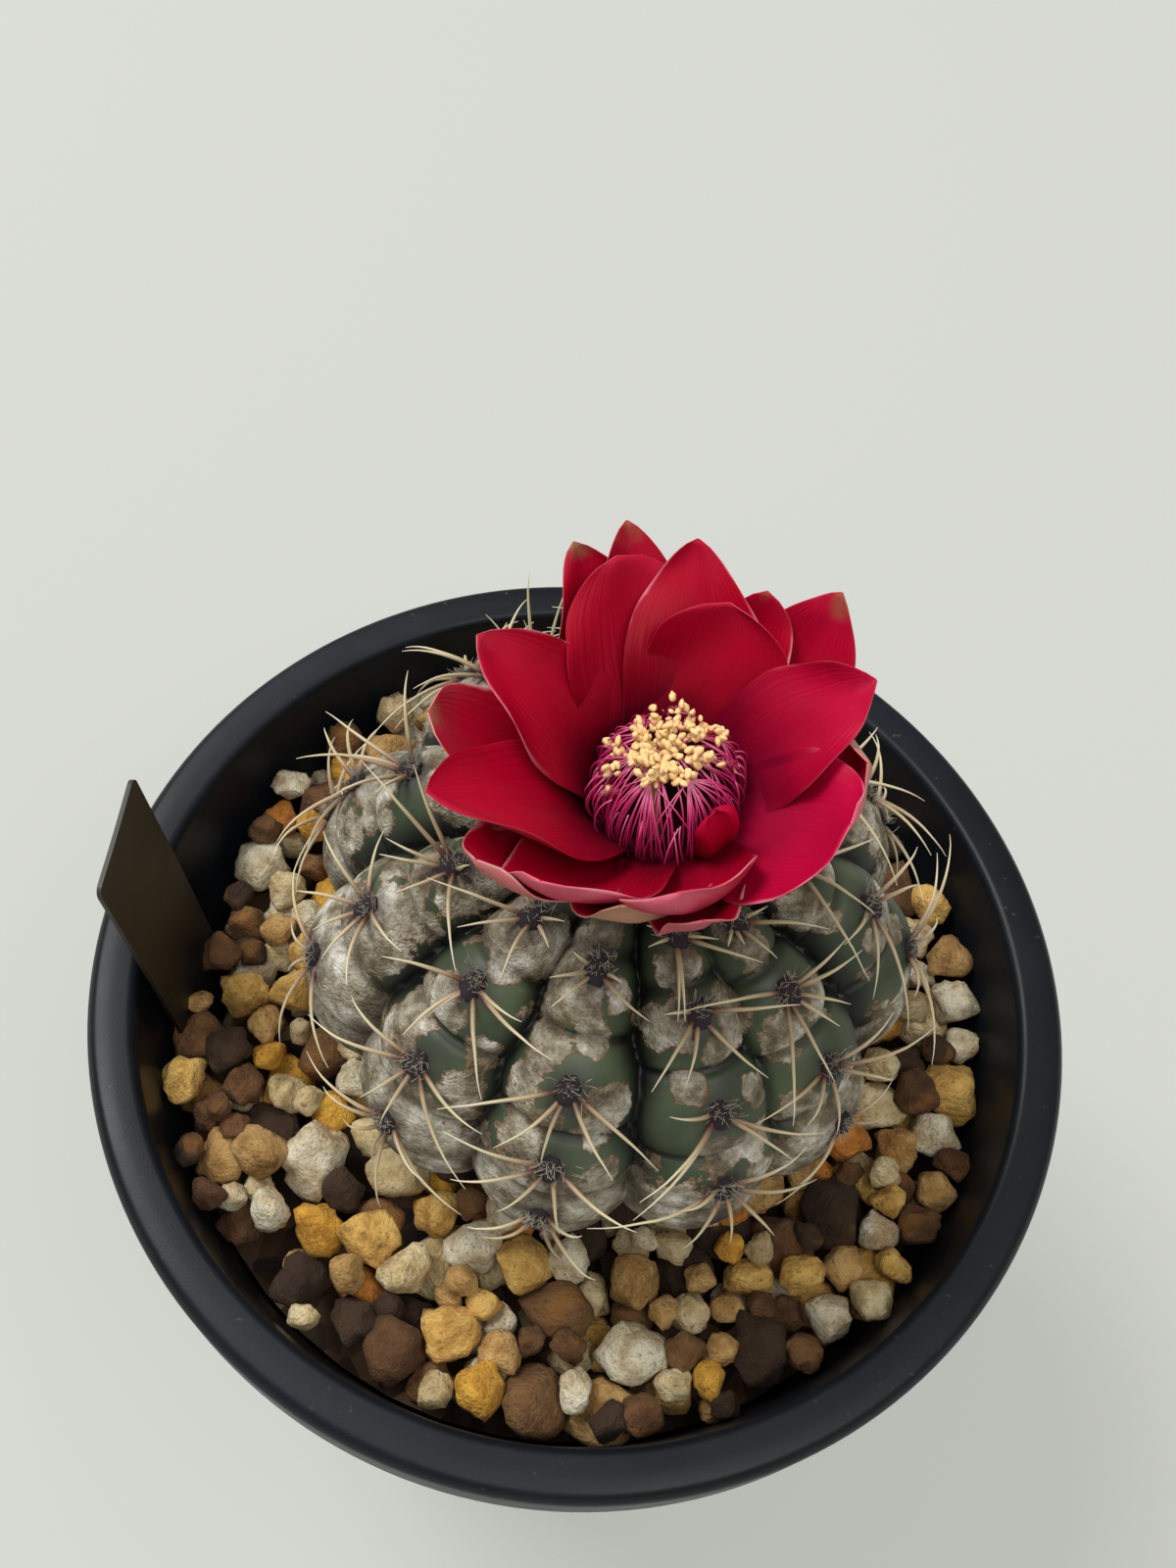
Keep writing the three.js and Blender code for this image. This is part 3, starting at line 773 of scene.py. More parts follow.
# %% [markdown]
# With age the skin turns to cork, from the foot upwards and round the areoles: silver-grey
# flakes with a crisp brown edge. A painted map would be one way; here every point gets an
# amount of cork, from a few patches beside each areole and from its depth, and the finish
# adds a fine noise to it and cuts it into skin, edge and flake.

# %% Cork patches
CORK_SEED = 11
# Where a patch can lie: mm sideways and mm below the areole, and how likely it is.
CORK_SPOTS = [
    (-1.8, 3.2, 0.3),
    (2.2, 4.0, 0.3),
    (-5.5, 0.5, 0.1),
    (5.5, 0.5, 0.1),
    (-4.5, 4.5, 0.15),
    (4.5, 5.0, 0.15),
    (0.5, -4.2, -0.05),
    (-3.5, -3.0, -0.1),
]


def cork_patches():
    """Azimuth, polar angle and size in mm of the corky patches, more of them low and left."""
    rng = random.Random(CORK_SEED)
    patches = []
    for azimuth, polar in bumps:
        if polar < math.radians(18) or polar > math.radians(100):
            continue
        shade_side = math.exp(-(angle_between(azimuth, math.radians(205)) / 0.75) ** 2)
        age = smooth_step(math.radians(28), math.radians(75), polar)
        amount = 0.2 + 0.42 * shade_side + 0.4 * age
        for sideways, south, share in CORK_SPOTS:
            if rng.random() > amount + share:
                continue
            reach = rng.uniform(1.5, 3.1) * (0.85 + 0.5 * amount)
            across = (sideways + rng.uniform(-1.3, 1.3)) / (BODY_RADIUS * math.sin(polar))
            down = (south + rng.uniform(-1.2, 1.2)) / ARC_LENGTH
            patches.append((azimuth + across, polar + down, reach))
    return patches


def cork_amount(azimuth, polar, patches):
    """The amount of cork, where one half is the edge between green skin and cork."""
    amount = np.zeros(azimuth.shape)
    for patch_azimuth, patch_polar, reach in patches:
        sideways = angle_between(azimuth, patch_azimuth) * BODY_RADIUS * np.sin(polar)
        south = (polar - patch_polar) * ARC_LENGTH
        amount = np.maximum(amount, 1 - 0.5 * (sideways**2 + south**2) / reach**2)
    left = np.exp(-((angle_between(azimuth, math.radians(200)) / 0.9) ** 2))
    old = smooth_step(1.06, 1.5, polar + 0.2 * left)
    groove = smooth_step(-0.25, 0.55, -bump_field(azimuth, polar)[0])
    return np.maximum(amount - 0.55 * groove, 0.95 * old)


# %% Body finish


def corky_cactus_skin():
    """Dull green skin with silver cork, painted darker in the grooves and creases as painted shade; the
    roots below are brown.
    """
    material, tree = new_material("corky_cactus_skin", IOR=1.45)
    place = add_node(tree, "ShaderNodeTexCoord").outputs["Object"]
    cork, groove_shade, felt = stored_values(tree, "cork", "groove_shade", "areole")
    ragged = add_node(
        tree, "ShaderNodeTexNoise", {"Vector": place, "Scale": 300, "Detail": 7, "Roughness": 0.66}
    )
    spread = add_node(
        tree,
        "ShaderNodeMapRange",
        {"Value": ragged, "From Min": 0.3, "From Max": 0.7, "To Min": -0.42, "To Max": 0.42},
        clamp=False,
    )
    rough_cork = add_node(tree, "ShaderNodeMath", {0: cork, 1: spread}, operation="ADD")
    is_cork = add_node(
        tree,
        "ShaderNodeMapRange",
        {"Value": rough_cork, "From Min": 0.5, "From Max": 0.53},
        interpolation_type="SMOOTHSTEP",
    )
    soft_noise = add_node(
        tree, "ShaderNodeTexNoise", {"Vector": place, "Scale": 110, "Detail": 4, "Roughness": 0.55}
    )
    green = add_node(
        tree,
        "ShaderNodeValToRGB",
        {"Fac": soft_noise},
        [(0.3, "2e3928"), (0.5, "3d4a34"), (0.7, "4f5c42")],
    )
    # Grooves between ribs and creases between bumps are painted near-black: painted shade.
    green_with_painted_groove_shade = add_node(
        tree,
        "ShaderNodeMix",
        {MIX_FACTOR: groove_shade, MIX_A: green, MIX_B: linear("10150e")},
        data_type="RGBA",
    )
    flake = add_node(
        tree, "ShaderNodeTexNoise", {"Vector": place, "Scale": 260, "Detail": 8, "Roughness": 0.68}
    )
    silver = add_node(
        tree,
        "ShaderNodeValToRGB",
        {"Fac": flake},
        [(0.32, "4c4231"), (0.44, "796e59"), (0.55, "aba492"), (0.66, "e2dfd5")],
    )
    edge = add_node(
        tree,
        "ShaderNodeMapRange",
        {"Value": rough_cork, "From Min": 0.53, "From Max": 0.68},
        interpolation_type="SMOOTHSTEP",
    )
    cork_colour = add_node(
        tree,
        "ShaderNodeMix",
        {MIX_FACTOR: edge, MIX_A: linear("7c6246"), MIX_B: silver},
        data_type="RGBA",
    )
    skin = add_node(
        tree,
        "ShaderNodeMix",
        {MIX_FACTOR: is_cork, MIX_A: green_with_painted_groove_shade, MIX_B: cork_colour},
        data_type="RGBA",
    )
    # The grooves are painted darker and browner once more, over the cork too: painted shade.
    shaded = add_node(tree, "ShaderNodeMath", {0: groove_shade, 1: 0.7}, operation="MULTIPLY")
    skin_with_painted_groove_shade = add_node(
        tree,
        "ShaderNodeMix",
        {MIX_FACTOR: shaded, MIX_A: skin, MIX_B: linear("5c523f")},
        data_type="RGBA",
        blend_type="MULTIPLY",
    )
    near_areole = add_node(
        tree, "ShaderNodeMix", {MIX_FACTOR: felt, MIX_A: skin_with_painted_groove_shade, MIX_B: linear("33262c")}, data_type="RGBA"
    )
    wrinkle = add_node(
        tree,
        "ShaderNodeTexWave",
        {"Vector": place, "Scale": 420, "Distortion": 14, "Detail": 4, "Detail Scale": 2.2},
        bands_direction="Z",
    )
    relief = add_node(tree, "ShaderNodeMath", {0: wrinkle.outputs["Fac"], 1: flake}, operation="ADD")
    cork_relief = add_node(tree, "ShaderNodeMath", {0: relief, 1: is_cork}, operation="MULTIPLY")
    bump = add_node(tree, "ShaderNodeBump", {"Strength": 0.5, "Distance": 0.0004, "Height": cork_relief})
    rough = add_node(tree, "ShaderNodeMapRange", {"Value": is_cork, "To Min": 0.5, "To Max": 0.82})
    return end_finish(material, near_areole, rough, bump)


# %% Wrap the grid
BODY_COLUMNS = 420
BODY_ROWS = 196
ROOT_RADIUS = 9
ROOT_TIP_RADIUS = 2.7
ROOT_LENGTH = 34


def make_body():
    """The ribbed ball and the taproot below it, closed at both ends."""
    azimuths = np.arange(BODY_COLUMNS) * 2 * math.pi / BODY_COLUMNS
    last_polar = math.pi - math.asin(ROOT_RADIUS / (BODY_RADIUS - BUMP_HEIGHT))
    polars = np.linspace(0.012, last_polar, BODY_ROWS)
    azimuth, polar = np.meshgrid(azimuths, polars)
    points, height, crease = body_points(azimuth, polar)
    points = points.reshape(-1, 3)
    cork = cork_amount(azimuth, polar, cork_patches()).ravel()
    # How deep a point lies in a groove or crease; the finish paints these darker as painted shade.
    groove_shade = np.clip(smooth_step(0.45, -0.45, height) + 0.65 * crease, 0, 1).ravel()
    near = np.zeros(azimuth.shape)
    for bump_azimuth, bump_polar in bumps:
        sideways = angle_between(azimuth, bump_azimuth) * BODY_RADIUS * np.sin(polar)
        south = (polar - bump_polar) * ARC_LENGTH
        near = np.maximum(near, 0.92 * np.exp(-((sideways**2 + 0.7 * south**2) / 4.6)))
    root_depths = np.linspace(1.5, ROOT_LENGTH, 30)
    start = points[-1, 2]
    root = []
    for depth in root_depths:
        share = depth / ROOT_LENGTH
        radius = ROOT_RADIUS + (ROOT_TIP_RADIUS - ROOT_RADIUS) * share**0.8
        for angle in azimuths:
            x, y = math.cos(angle), math.sin(angle)
            reach = radius * (1 + 0.12 * noise.noise(Vector((x * 1.5, y * 1.5, depth / 7))))
            root.append((BODY_CENTRE.x + reach * x, BODY_CENTRE.y + reach * y, start - depth))
    crown = (BODY_CENTRE.x, BODY_CENTRE.y, points[:BODY_COLUMNS, 2].mean())
    tip = (BODY_CENTRE.x, BODY_CENTRE.y, start - ROOT_LENGTH - 1)
    everything = np.vstack([points, root, [crown, tip]])
    rows = BODY_ROWS + len(root_depths)
    faces = grid_faces(rows, BODY_COLUMNS, wrap=True)
    count = len(everything)
    faces += end_faces(count - 2, count - 1, (rows - 1) * BODY_COLUMNS, BODY_COLUMNS)
    # Rows run from the crown down, so the faces are turned round to look outwards.
    faces = [face[::-1] for face in faces]
    extra = np.zeros(len(root) + 2)
    values = {
        "cork": np.concatenate([cork, extra + 1]),
        "groove_shade": np.concatenate([groove_shade, extra]),
        "areole": np.concatenate([near.ravel(), extra]),
    }
    body = build_piece("cactus_body", everything, faces, corky_cactus_skin(), values)
    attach(body, "root")
    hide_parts("stem")
    print(f"body: {len(faces)} faces, {everything[:, 2].max():.1f} mm high")


make_body()

# %% [markdown]
# ## Areoles and spines
# Each areole is a dark felt pad with grey wool on its upper side. Four to seven spines fan out
# of it, the side ones longest, and bend back towards the body like the legs of a spider. They
# are straw-coloured with a red-brown foot. A spine is a path of a dozen points swept by the
# thread tree; a tuft of wool is the same with shorter, thinner paths.

# %% Spine, wool and felt finishes


def thread_finish(name, stops, roughness, mottle, subsurface=0.0):
    """A finish for threads: its colours run from foot to tip, with a little mottling."""
    material, tree = new_material(name, IOR=1.5, Subsurface_Weight=subsurface, Subsurface_Scale=0.6 * MM)
    place = add_node(tree, "ShaderNodeTexCoord").outputs["Object"]
    along = stored_values(tree, "along")[0]
    cloud = add_node(tree, "ShaderNodeTexNoise", {"Vector": place, "Scale": 500, "Detail": 3})
    shift = add_node(
        tree, "ShaderNodeMapRange", {"Value": cloud, "To Min": -mottle, "To Max": mottle}, clamp=False
    )
    where = add_node(tree, "ShaderNodeMath", {0: along, 1: shift}, operation="ADD")
    colour = add_node(tree, "ShaderNodeValToRGB", {"Fac": where}, stops)
    rough = add_node(
        tree,
        "ShaderNodeMapRange",
        {"Value": cloud, "To Min": roughness - 0.08, "To Max": roughness + 0.08},
    )
    bump = add_node(tree, "ShaderNodeBump", {"Strength": 0.25, "Distance": 0.0001, "Height": cloud})
    return end_finish(material, colour, rough, bump)


HORNY_SPINE = thread_finish(
    "horny_straw_spine",
    [(0.0, "2e1a18"), (0.09, "664238"), (0.22, "a48c6c"), (0.6, "cbbd98"), (1.0, "e0d6ba")],
    roughness=0.45,
    mottle=0.12,
)
GREY_WOOL = thread_finish(
    "grey_areole_wool", [(0.0, "5a5048"), (0.5, "97907f"), (1.0, "b9b2a2")], roughness=0.9, mottle=0.2
)
DARK_FELT = thread_finish(
    "dark_areole_felt", [(0.0, "241b20"), (1.0, "3a2f34")], roughness=0.95, mottle=0.3
)

# %% Grow the areoles
SPINE_RADIUS = 0.29
SPINE_STEPS = 12
# Which way each spine points, in degrees from straight down the rib, and how long it is.
FAN = [0, -36, 36, -76, 76, -114, 114]
FAN_LENGTH = {0: 8.5, 36: 11.0, 76: 13.5, 114: 11.0}
# Spine tips keep this far from the middle of the flower.
UNDER_PETALS = Vector((4, -6, 163))
PETAL_ROOM = 21
SHORTEST_SPINE = 4
# Young spines stand tallest round this azimuth, away from the flower.
AWAY_SIDE = math.radians(145)
AWAY_SPREAD = 0.9
WOOL_HAIRS = 46
HAIR_RADIUS = 0.05


def areole_place(azimuth, polar):
    """Where an areole sits, which way it looks, and which way is down along the rib."""
    spots = body_points([math.radians(azimuth)] * 2, np.radians([polar, polar + 6]))[0]
    spot, below = (Vector(place) for place in spots)
    out = spot - BODY_CENTRE
    out = Vector((out.x / BODY_RADIUS**2, out.y / BODY_RADIUS**2, out.z / BODY_HALF_HEIGHT**2))
    out.normalize()
    down = below - spot
    down = (down - down.dot(out) * out).normalized()
    return spot, out, down


def spine_paths(azimuth, polar, rng, size=1.0):
    """The spines of one areole, as paths; away from the flower the young ones stand tall."""
    spot, out, down = areole_place(azimuth, polar)
    side = down.cross(out)
    away = abs(angle_between(math.radians(azimuth), AWAY_SIDE)) < AWAY_SPREAD
    young = 1 - float(smooth_step(22, 72 if away else 50, polar))
    if away:
        size *= 1 + 0.3 * young
    paths = []
    for angle in FAN:
        if abs(angle) == 114 and rng.random() < 0.35:
            continue
        if angle == 0 and rng.random() < 0.2:
            continue
        length = FAN_LENGTH[abs(angle)] * rng.uniform(0.66, 1.24) * size
        fan = math.radians(angle + rng.uniform(-19, 19))
        lift = math.radians(rng.uniform(14, 46) + (55 if away else 18) * young)
        ahead = math.cos(fan) * down + math.sin(fan) * side
        foot = spot + ahead * 0.7 - out * 0.3
        # Near the flower they stay short, under its petals.
        heading = ahead * math.cos(lift) + out * 0.8 * math.sin(lift)
        while (foot + length * heading - UNDER_PETALS).length < PETAL_ROOM:
            length *= 0.9
            if length < SHORTEST_SPINE:
                break
        twist = side * rng.uniform(-0.16, 0.16) + down * rng.uniform(-0.05, 0.12)
        path = []
        for step in range(SPINE_STEPS):
            u = step / (SPINE_STEPS - 1)
            rise = u * math.sin(lift) - (0.38 - 0.16 * young) * u * u
            point = foot + length * (u * math.cos(lift) * ahead + rise * out + u * u * twist)
            path.append((tuple(point), SPINE_RADIUS * (0.8 + 0.2 * size) * (1 - 0.9 * u**1.3)))
        paths.append(path)
    return paths


def wool_paths(azimuth, polar, rng, size=1.0):
    """A tuft of short grey hairs on the upper side of one areole."""
    spot, out, down = areole_place(azimuth, polar)
    side = down.cross(out)
    paths = []
    for _ in range(WOOL_HAIRS):
        across = rng.gauss(0, 0.85) * size
        up = rng.uniform(-0.5, 1.5) * size
        foot = spot + across * side - up * down + 0.1 * out
        lean = side * rng.uniform(-0.8, 0.8) - down * rng.uniform(-0.3, 0.9) + out * rng.uniform(0.5, 1.1)
        lean.normalize()
        curl = side * rng.uniform(-0.5, 0.5) + down * rng.uniform(-0.4, 0.4)
        length = rng.uniform(0.8, 1.8) * size
        path = []
        for step in range(5):
            u = step / 4
            point = foot + length * (u * lean + u * u * curl)
            path.append((tuple(point), HAIR_RADIUS * (1 - 0.6 * u)))
        paths.append(path)
    return paths


def make_spines():
    """One piece of spines for each rib, and one for the young areoles round the crown."""
    rng = random.Random(23)
    young, wool, pads = [], [], []
    for number, (azimuth, polars) in enumerate(RIB_AREOLES, start=1):
        paths = []
        for polar in polars:
            if polar < YOUNG_LIMIT:
                young += spine_paths(azimuth, polar, rng, size=0.9)
            else:
                paths += spine_paths(azimuth, polar, rng, size=1.0 if polar < 78 else 0.92)
        name = f"spines_rib_{number:02d}"
        spines = grow_threads(name, paths, HORNY_SPINE, sides=7, crookedness=0.9, seed=number)
        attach(spines, "root")
        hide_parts(*[f"{name}_areole_{n}" for n in (1, 2, 3)])
        for polar in [polars[0] - CROWN_STEP, *polars]:
            size = 0.7 if polar < 20 else 1.0
            wool += wool_paths(azimuth, polar, rng, size)
            pads.append((*areole_place(azimuth, polar), size))
    crown = grow_threads("spines_crown", young, HORNY_SPINE, sides=7, crookedness=0.7, seed=31.0)
    tufts = grow_threads("areole_wool", wool, GREY_WOOL, sides=4, crookedness=0.8, seed=5.0)
    return [crown, tufts, make_felt(pads)]


def make_felt(pads):
    """The dark pads, copies of two lumpy cushions."""
    shapes = lumpy_grains("cushion", subdivisions=3, swell=0.22, lumps=2200, apart=9)
    points, turns, sizes = [], [], []
    for spot, out, down, size in pads:
        points.append(tuple(spot - 0.1 * out))
        turns.append(turn_to(out, down))
        sizes.append((1.25 * size, 1.7 * size, 0.85 * size))
    values = {"shape": [number % 2 for number in range(len(points))], "turn": turns, "size": sizes}
    return grow_copies("areole_felt", points, shapes, DARK_FELT, values)


for spiny in make_spines():
    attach(spiny, "root")
    print(f"{spiny.name}: {len(spiny.data.polygons)} faces")

# %% [markdown]
# ## Grit dressing
# Loose pumice, fired clay and quartz of about 3 to 9 mm lie on the mix. A bumpy sheet would never show
# the dark gaps between stones, and a physics run is slow and a little different each time. So
# stones are dropped one by one in plain arithmetic: of several random places each takes the one
# where it comes to rest lowest, clear of the wall, the plant and the label.

# %% Drop the stones
STONE_COUNT = 900
STONE_TRIES = 16
STONE_SHAPES = 14
STONE_RADII = (1.8, 2.1, 2.4, 2.6, 2.9, 3.2, 3.5, 4.0)
# Stones sink this far into each other's hollows, as a share of the distance of their middles.
NESTLE = 0.88
# Stones deeper than this can't be seen and are left out.
SEEN_DEPTH = 8.5
grit_low, grit_high = box_mm("grit_dressing")
GRIT_TOP = grit_high.z - 0.4
label_low, label_high = box_mm("plant_label")


def settle_stones():
    """Centre and radius of every stone, in millimetres."""
    rng = random.Random(7)
    stones = np.zeros((0, 4))
    bed = grit_low.z + 1
    for _ in range(STONE_COUNT):
        radius = rng.choice(STONE_RADII)
        best = None
        for _ in range(STONE_TRIES):
            angle = rng.uniform(0, 2 * math.pi)
            reach = (inner_wall_radius(GRIT_TOP) - 0.88 * radius) * math.sqrt(rng.uniform(0.1, 1))
            x, y = reach * math.cos(angle), reach * math.sin(angle)
            height = bed + radius
            if len(stones):
                gap = np.hypot(stones[:, 0] - x, stones[:, 1] - y)
                sum_radii = NESTLE * (stones[:, 3] + radius)
                touching = gap < sum_radii
                if touching.any():
                    rise = np.sqrt(sum_radii[touching] ** 2 - gap[touching] ** 2)
                    height = max(height, (stones[touching, 2] + rise).max())
            if height + 0.85 * radius > GRIT_TOP + 1.2:
                continue
            if reach + 0.86 * radius > inner_wall_radius(height):
                continue
            beside = math.hypot(x - BODY_CENTRE.x, y - BODY_CENTRE.y) / (BODY_RADIUS + 0.7 * radius)
            above = (height - BODY_CENTRE.z) / (BODY_HALF_HEIGHT + 0.7 * radius)
            if beside**2 + above**2 < 1:
                continue
            label_x = label_high.x - (GRIT_TOP - height) * 0.1
            if x < label_x + 0.7 * radius - 4 and label_low.y - radius < y < label_high.y + radius:
                continue
            if best is None or height < best[2]:
                best = (x, y, height, radius)
        if best:
            stones = np.vstack([stones, best])
    return stones[stones[:, 2] > GRIT_TOP - SEEN_DEPTH]


# %% Stone shapes and colours
STONE_FLATS = 9
# Each colour of stone and its share.
STONE_COLOURS = [
    ("664628", 0.11),
    ("3c2918", 0.12),
    ("785733", 0.1),
    ("bf9a60", 0.12),
    ("dba63c", 0.07),
    ("ecc06a", 0.1),
    ("fdf3d6", 0.17),
    ("eedcae", 0.14),
    ("d98f3c", 0.03),
    ("b8a67e", 0.04),
]


def make_stone_shapes():
    """A few rounded rocks about one unit in radius, with worn flat sides."""
    shapes = []
    rng = random.Random(3)
    for number in range(STONE_SHAPES):
        rock = bmesh.new()
        bmesh.ops.create_icosphere(rock, subdivisions=3, radius=1)
        flats = [
            (Vector([rng.gauss(0, 1) for _ in range(3)]).normalized(), rng.uniform(0.64, 0.92))
            for _ in range(STONE_FLATS)
        ]
        offset = Vector((number * 7.3, 0, 0))
        for vertex in rock.verts:
            point = vertex.co * (1 + 0.42 * noise.noise(vertex.co * 1.25 + offset))
            for normal, depth in flats:
                over = point.dot(normal) - depth
                if over > 0:
                    point -= normal * over * 0.84
            point *= 1 + 0.13 * noise.noise(point * 3.4 + offset)
            vertex.co = point
        shapes.append(from_bmesh(f"stone_{number:02d}", rock))
    return shapes


def porous_stone():
    """Pumice and fired clay: each stone's own colour, clouded and stained, with pits in its bump that are
    painted darker as painted shade.
    """
    material, tree = new_material("porous_grit_stone", IOR=1.5)
    place = add_node(tree, "ShaderNodeTexCoord").outputs["Object"]
    tint = add_node(tree, "ShaderNodeAttribute", attribute_name="tint").outputs["Color"]
    cloud = add_node(
        tree, "ShaderNodeTexNoise", {"Vector": place, "Scale": 330, "Detail": 6, "Roughness": 0.62}
    )
    shade = add_node(
        tree, "ShaderNodeValToRGB", {"Fac": cloud}, [(0.3, "8f7a5e"), (0.46, "dccfb8"), (0.6, "ffffff")]
    )
    clouded = add_node(
        tree,
        "ShaderNodeMix",
        {MIX_FACTOR: 0.85, MIX_A: tint, MIX_B: shade},
        data_type="RGBA",
        blend_type="MULTIPLY",
    )
    stain = add_node(
        tree, "ShaderNodeTexNoise", {"Vector": place, "Scale": 150, "Detail": 3, "Roughness": 0.5}
    )
    stain_mask = add_node(
        tree,
        "ShaderNodeMapRange",
        {"Value": stain, "From Min": 0.56, "From Max": 0.7, "To Max": 0.5},
        interpolation_type="SMOOTHSTEP",
    )
    stained = add_node(
        tree,
        "ShaderNodeMix",
        {MIX_FACTOR: stain_mask, MIX_A: clouded, MIX_B: linear("a8712f")},
        data_type="RGBA",
    )
    # The same noise sinks pits into the bump and paints them dark: painted shade in the pits.
    pits = add_node(
        tree, "ShaderNodeTexNoise", {"Vector": place, "Scale": 1500, "Detail": 4, "Roughness": 0.7}
    )
    painted_pit_shade_mask = add_node(
        tree,
        "ShaderNodeMapRange",
        {"Value": pits, "From Min": 0.44, "From Max": 0.3, "To Max": 0.65},
        interpolation_type="SMOOTHSTEP",
    )
    pitted = add_node(
        tree,
        "ShaderNodeMix",
        {MIX_FACTOR: painted_pit_shade_mask, MIX_A: stained, MIX_B: linear("3b2c20")},
        data_type="RGBA",
    )
    relief = add_node(tree, "ShaderNodeMath", {0: pits, 1: cloud}, operation="ADD")
    bump = add_node(tree, "ShaderNodeBump", {"Strength": 0.95, "Distance": 0.001, "Height": relief})
    rough = add_node(tree, "ShaderNodeMapRange", {"Value": cloud, "To Min": 0.72, "To Max": 0.95})
    return end_finish(material, pitted, rough, bump)


def make_grit():
    """Every stone in its place, with its own shape, turn, size and colour."""
    rng = random.Random(41)
    stones = settle_stones()
    colours = [linear(colour)[:3] for colour, _ in STONE_COLOURS]
    shares = [share for _, share in STONE_COLOURS]
    turns, sizes, tints, shapes = [], [], [], []
    for _, _, _, radius in stones:
        turns.append([rng.uniform(0, 2 * math.pi) for _ in range(3)])
        sizes.append([radius * MM * rng.uniform(0.86, 1.18) for _ in range(3)])
        colour = rng.choices(colours, shares)[0]
        bright = min(rng.uniform(1.05, 1.4), 0.88 / max(colour))
        tints.append([bright * c for c in colour])
        shapes.append(rng.randrange(STONE_SHAPES))
    values = {"shape": shapes, "turn": turns, "size": sizes, "tint": tints}
    grit = grow_copies("grit_stones", stones[:, :3], make_stone_shapes(), porous_stone(), values)
    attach(grit, "root")
    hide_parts("grit_dressing")
    print(f"grit: {len(stones)} stones, {len(grit.data.polygons)} faces")


make_grit()

# %% [markdown]
# ## Blades
# The label and all the petals are thin two-sided blades: a row of cross-sections, each a shallow
# arc with a centre, a width and a thickness. A flat plane with a solidify modifier would have
# the same edge everywhere; building the section directly lets a petal thin out to its edge and
# lets the plastic keep a square one.

# %% Blade maker


def build_blade(name, rows, columns, material, edge_share, ruffle=None, extra=None):
    """A closed blade from rows of (centre, across, upward, half width, arc, thickness) in mm."""
    share = np.sin(np.linspace(-math.pi / 2, math.pi / 2, columns))
    loop = np.concatenate([share, share[::-1]])
    side = np.concatenate([np.ones(columns), np.zeros(columns)])
    points, along, across_values = [], [], []
    for number, (centre, across, upward, half, arc, thickness) in enumerate(rows):
        t = number / (len(rows) - 1)
        centre, across, upward = (np.array(v, float) for v in (centre, across, upward))
        angle = arc * loop
        bend = half / math.sin(arc)
        lateral = bend * np.sin(angle)
        lift = bend * (1 - np.cos(angle))
        if ruffle:
            lift = lift + ruffle(t, loop, half)
        body = edge_share + (1 - edge_share) * np.sqrt(np.clip(1 - loop**2, 0, 1))
        off = (side - 0.5) * thickness * body
        normal_across = -np.sin(angle) * off
        normal_up = np.cos(angle) * off
        row = centre + np.outer(lateral + normal_across, across) + np.outer(lift + normal_up, upward)
        points.append(row)
        along.append(np.full(2 * columns, t))
        across_values.append(loop)
    count = 2 * columns
    faces = grid_faces(len(rows), count, wrap=True)
    last = (len(rows) - 1) * count
    for j in range(columns - 1):
        faces.append((j, j + 1, count - 2 - j, count - 1 - j))
        faces.append((last + j + 1, last + j, last + count - 1 - j, last + count - 2 - j))
    values = {
        "along": np.concatenate(along),
        "across": np.concatenate(across_values),
        "side": np.tile(side, len(rows)),
    }
    total = len(rows) * count
    for key, value in (extra or {}).items():
        values[key] = np.full(total, value)
    return build_piece(name, np.vstack(points), faces, material, values)


def close_right_way(piece):
    """Turn all faces outwards."""
    mesh = bmesh.new()
    mesh.from_mesh(piece.data)
    bmesh.ops.recalc_face_normals(mesh, faces=mesh.faces)
    mesh.to_mesh(piece.data)
    mesh.free()
    return piece


# %% [markdown]
# ## The label
# A plain strip of dark brown plastic. It's pushed in beside the wall and leans out over the rim.

# %% Label
LABEL_WIDTH = 15.6
LABEL_THICKNESS = 0.9
LABEL_ABOVE_RIM = 22
LABEL_BELOW_RIM = 34
LABEL_POINT = 9
LABEL_CORNER = 1.2
LABEL_AZIMUTH = math.radians(186)
LABEL_LEAN = math.radians(8)
LABEL_TIP = math.radians(4)
LABEL_GAP = 1.3
LABEL_ROWS = 46


def label_plastic_painted_shade():
    """Matt brown-black plastic, mottled, and painted darker towards its foot as painted shade inside the
    pot.
    """
    material, tree = new_material("label_plastic_painted_shade", IOR=1.49)
    place = add_node(tree, "ShaderNodeTexCoord").outputs["Object"]
    along = stored_values(tree, "along")[0]
    cloud = add_node(tree, "ShaderNodeTexNoise", {"Vector": place, "Scale": 140, "Detail": 6})
    shift = add_node(
        tree, "ShaderNodeMapRange", {"Value": cloud, "To Min": -0.1, "To Max": 0.1}, clamp=False
    )
    where = add_node(tree, "ShaderNodeMath", {0: along, 1: shift}, operation="ADD")
    # From about the rim down the ramp stays near-black: painted shade on the part inside the pot.
    colour = add_node(
        tree,
        "ShaderNodeValToRGB",
        {"Fac": where},
        [(0.5, "14110e"), (0.62, "231c16"), (0.78, "2b241c"), (1.0, "34332b")],
    )
    rough = add_node(tree, "ShaderNodeMapRange", {"Value": cloud, "To Min": 0.42, "To Max": 0.62})
    bump = add_node(tree, "ShaderNodeBump", {"Strength": 0.2, "Distance": 0.0002, "Height": cloud})
    return end_finish(material, colour, rough, bump)


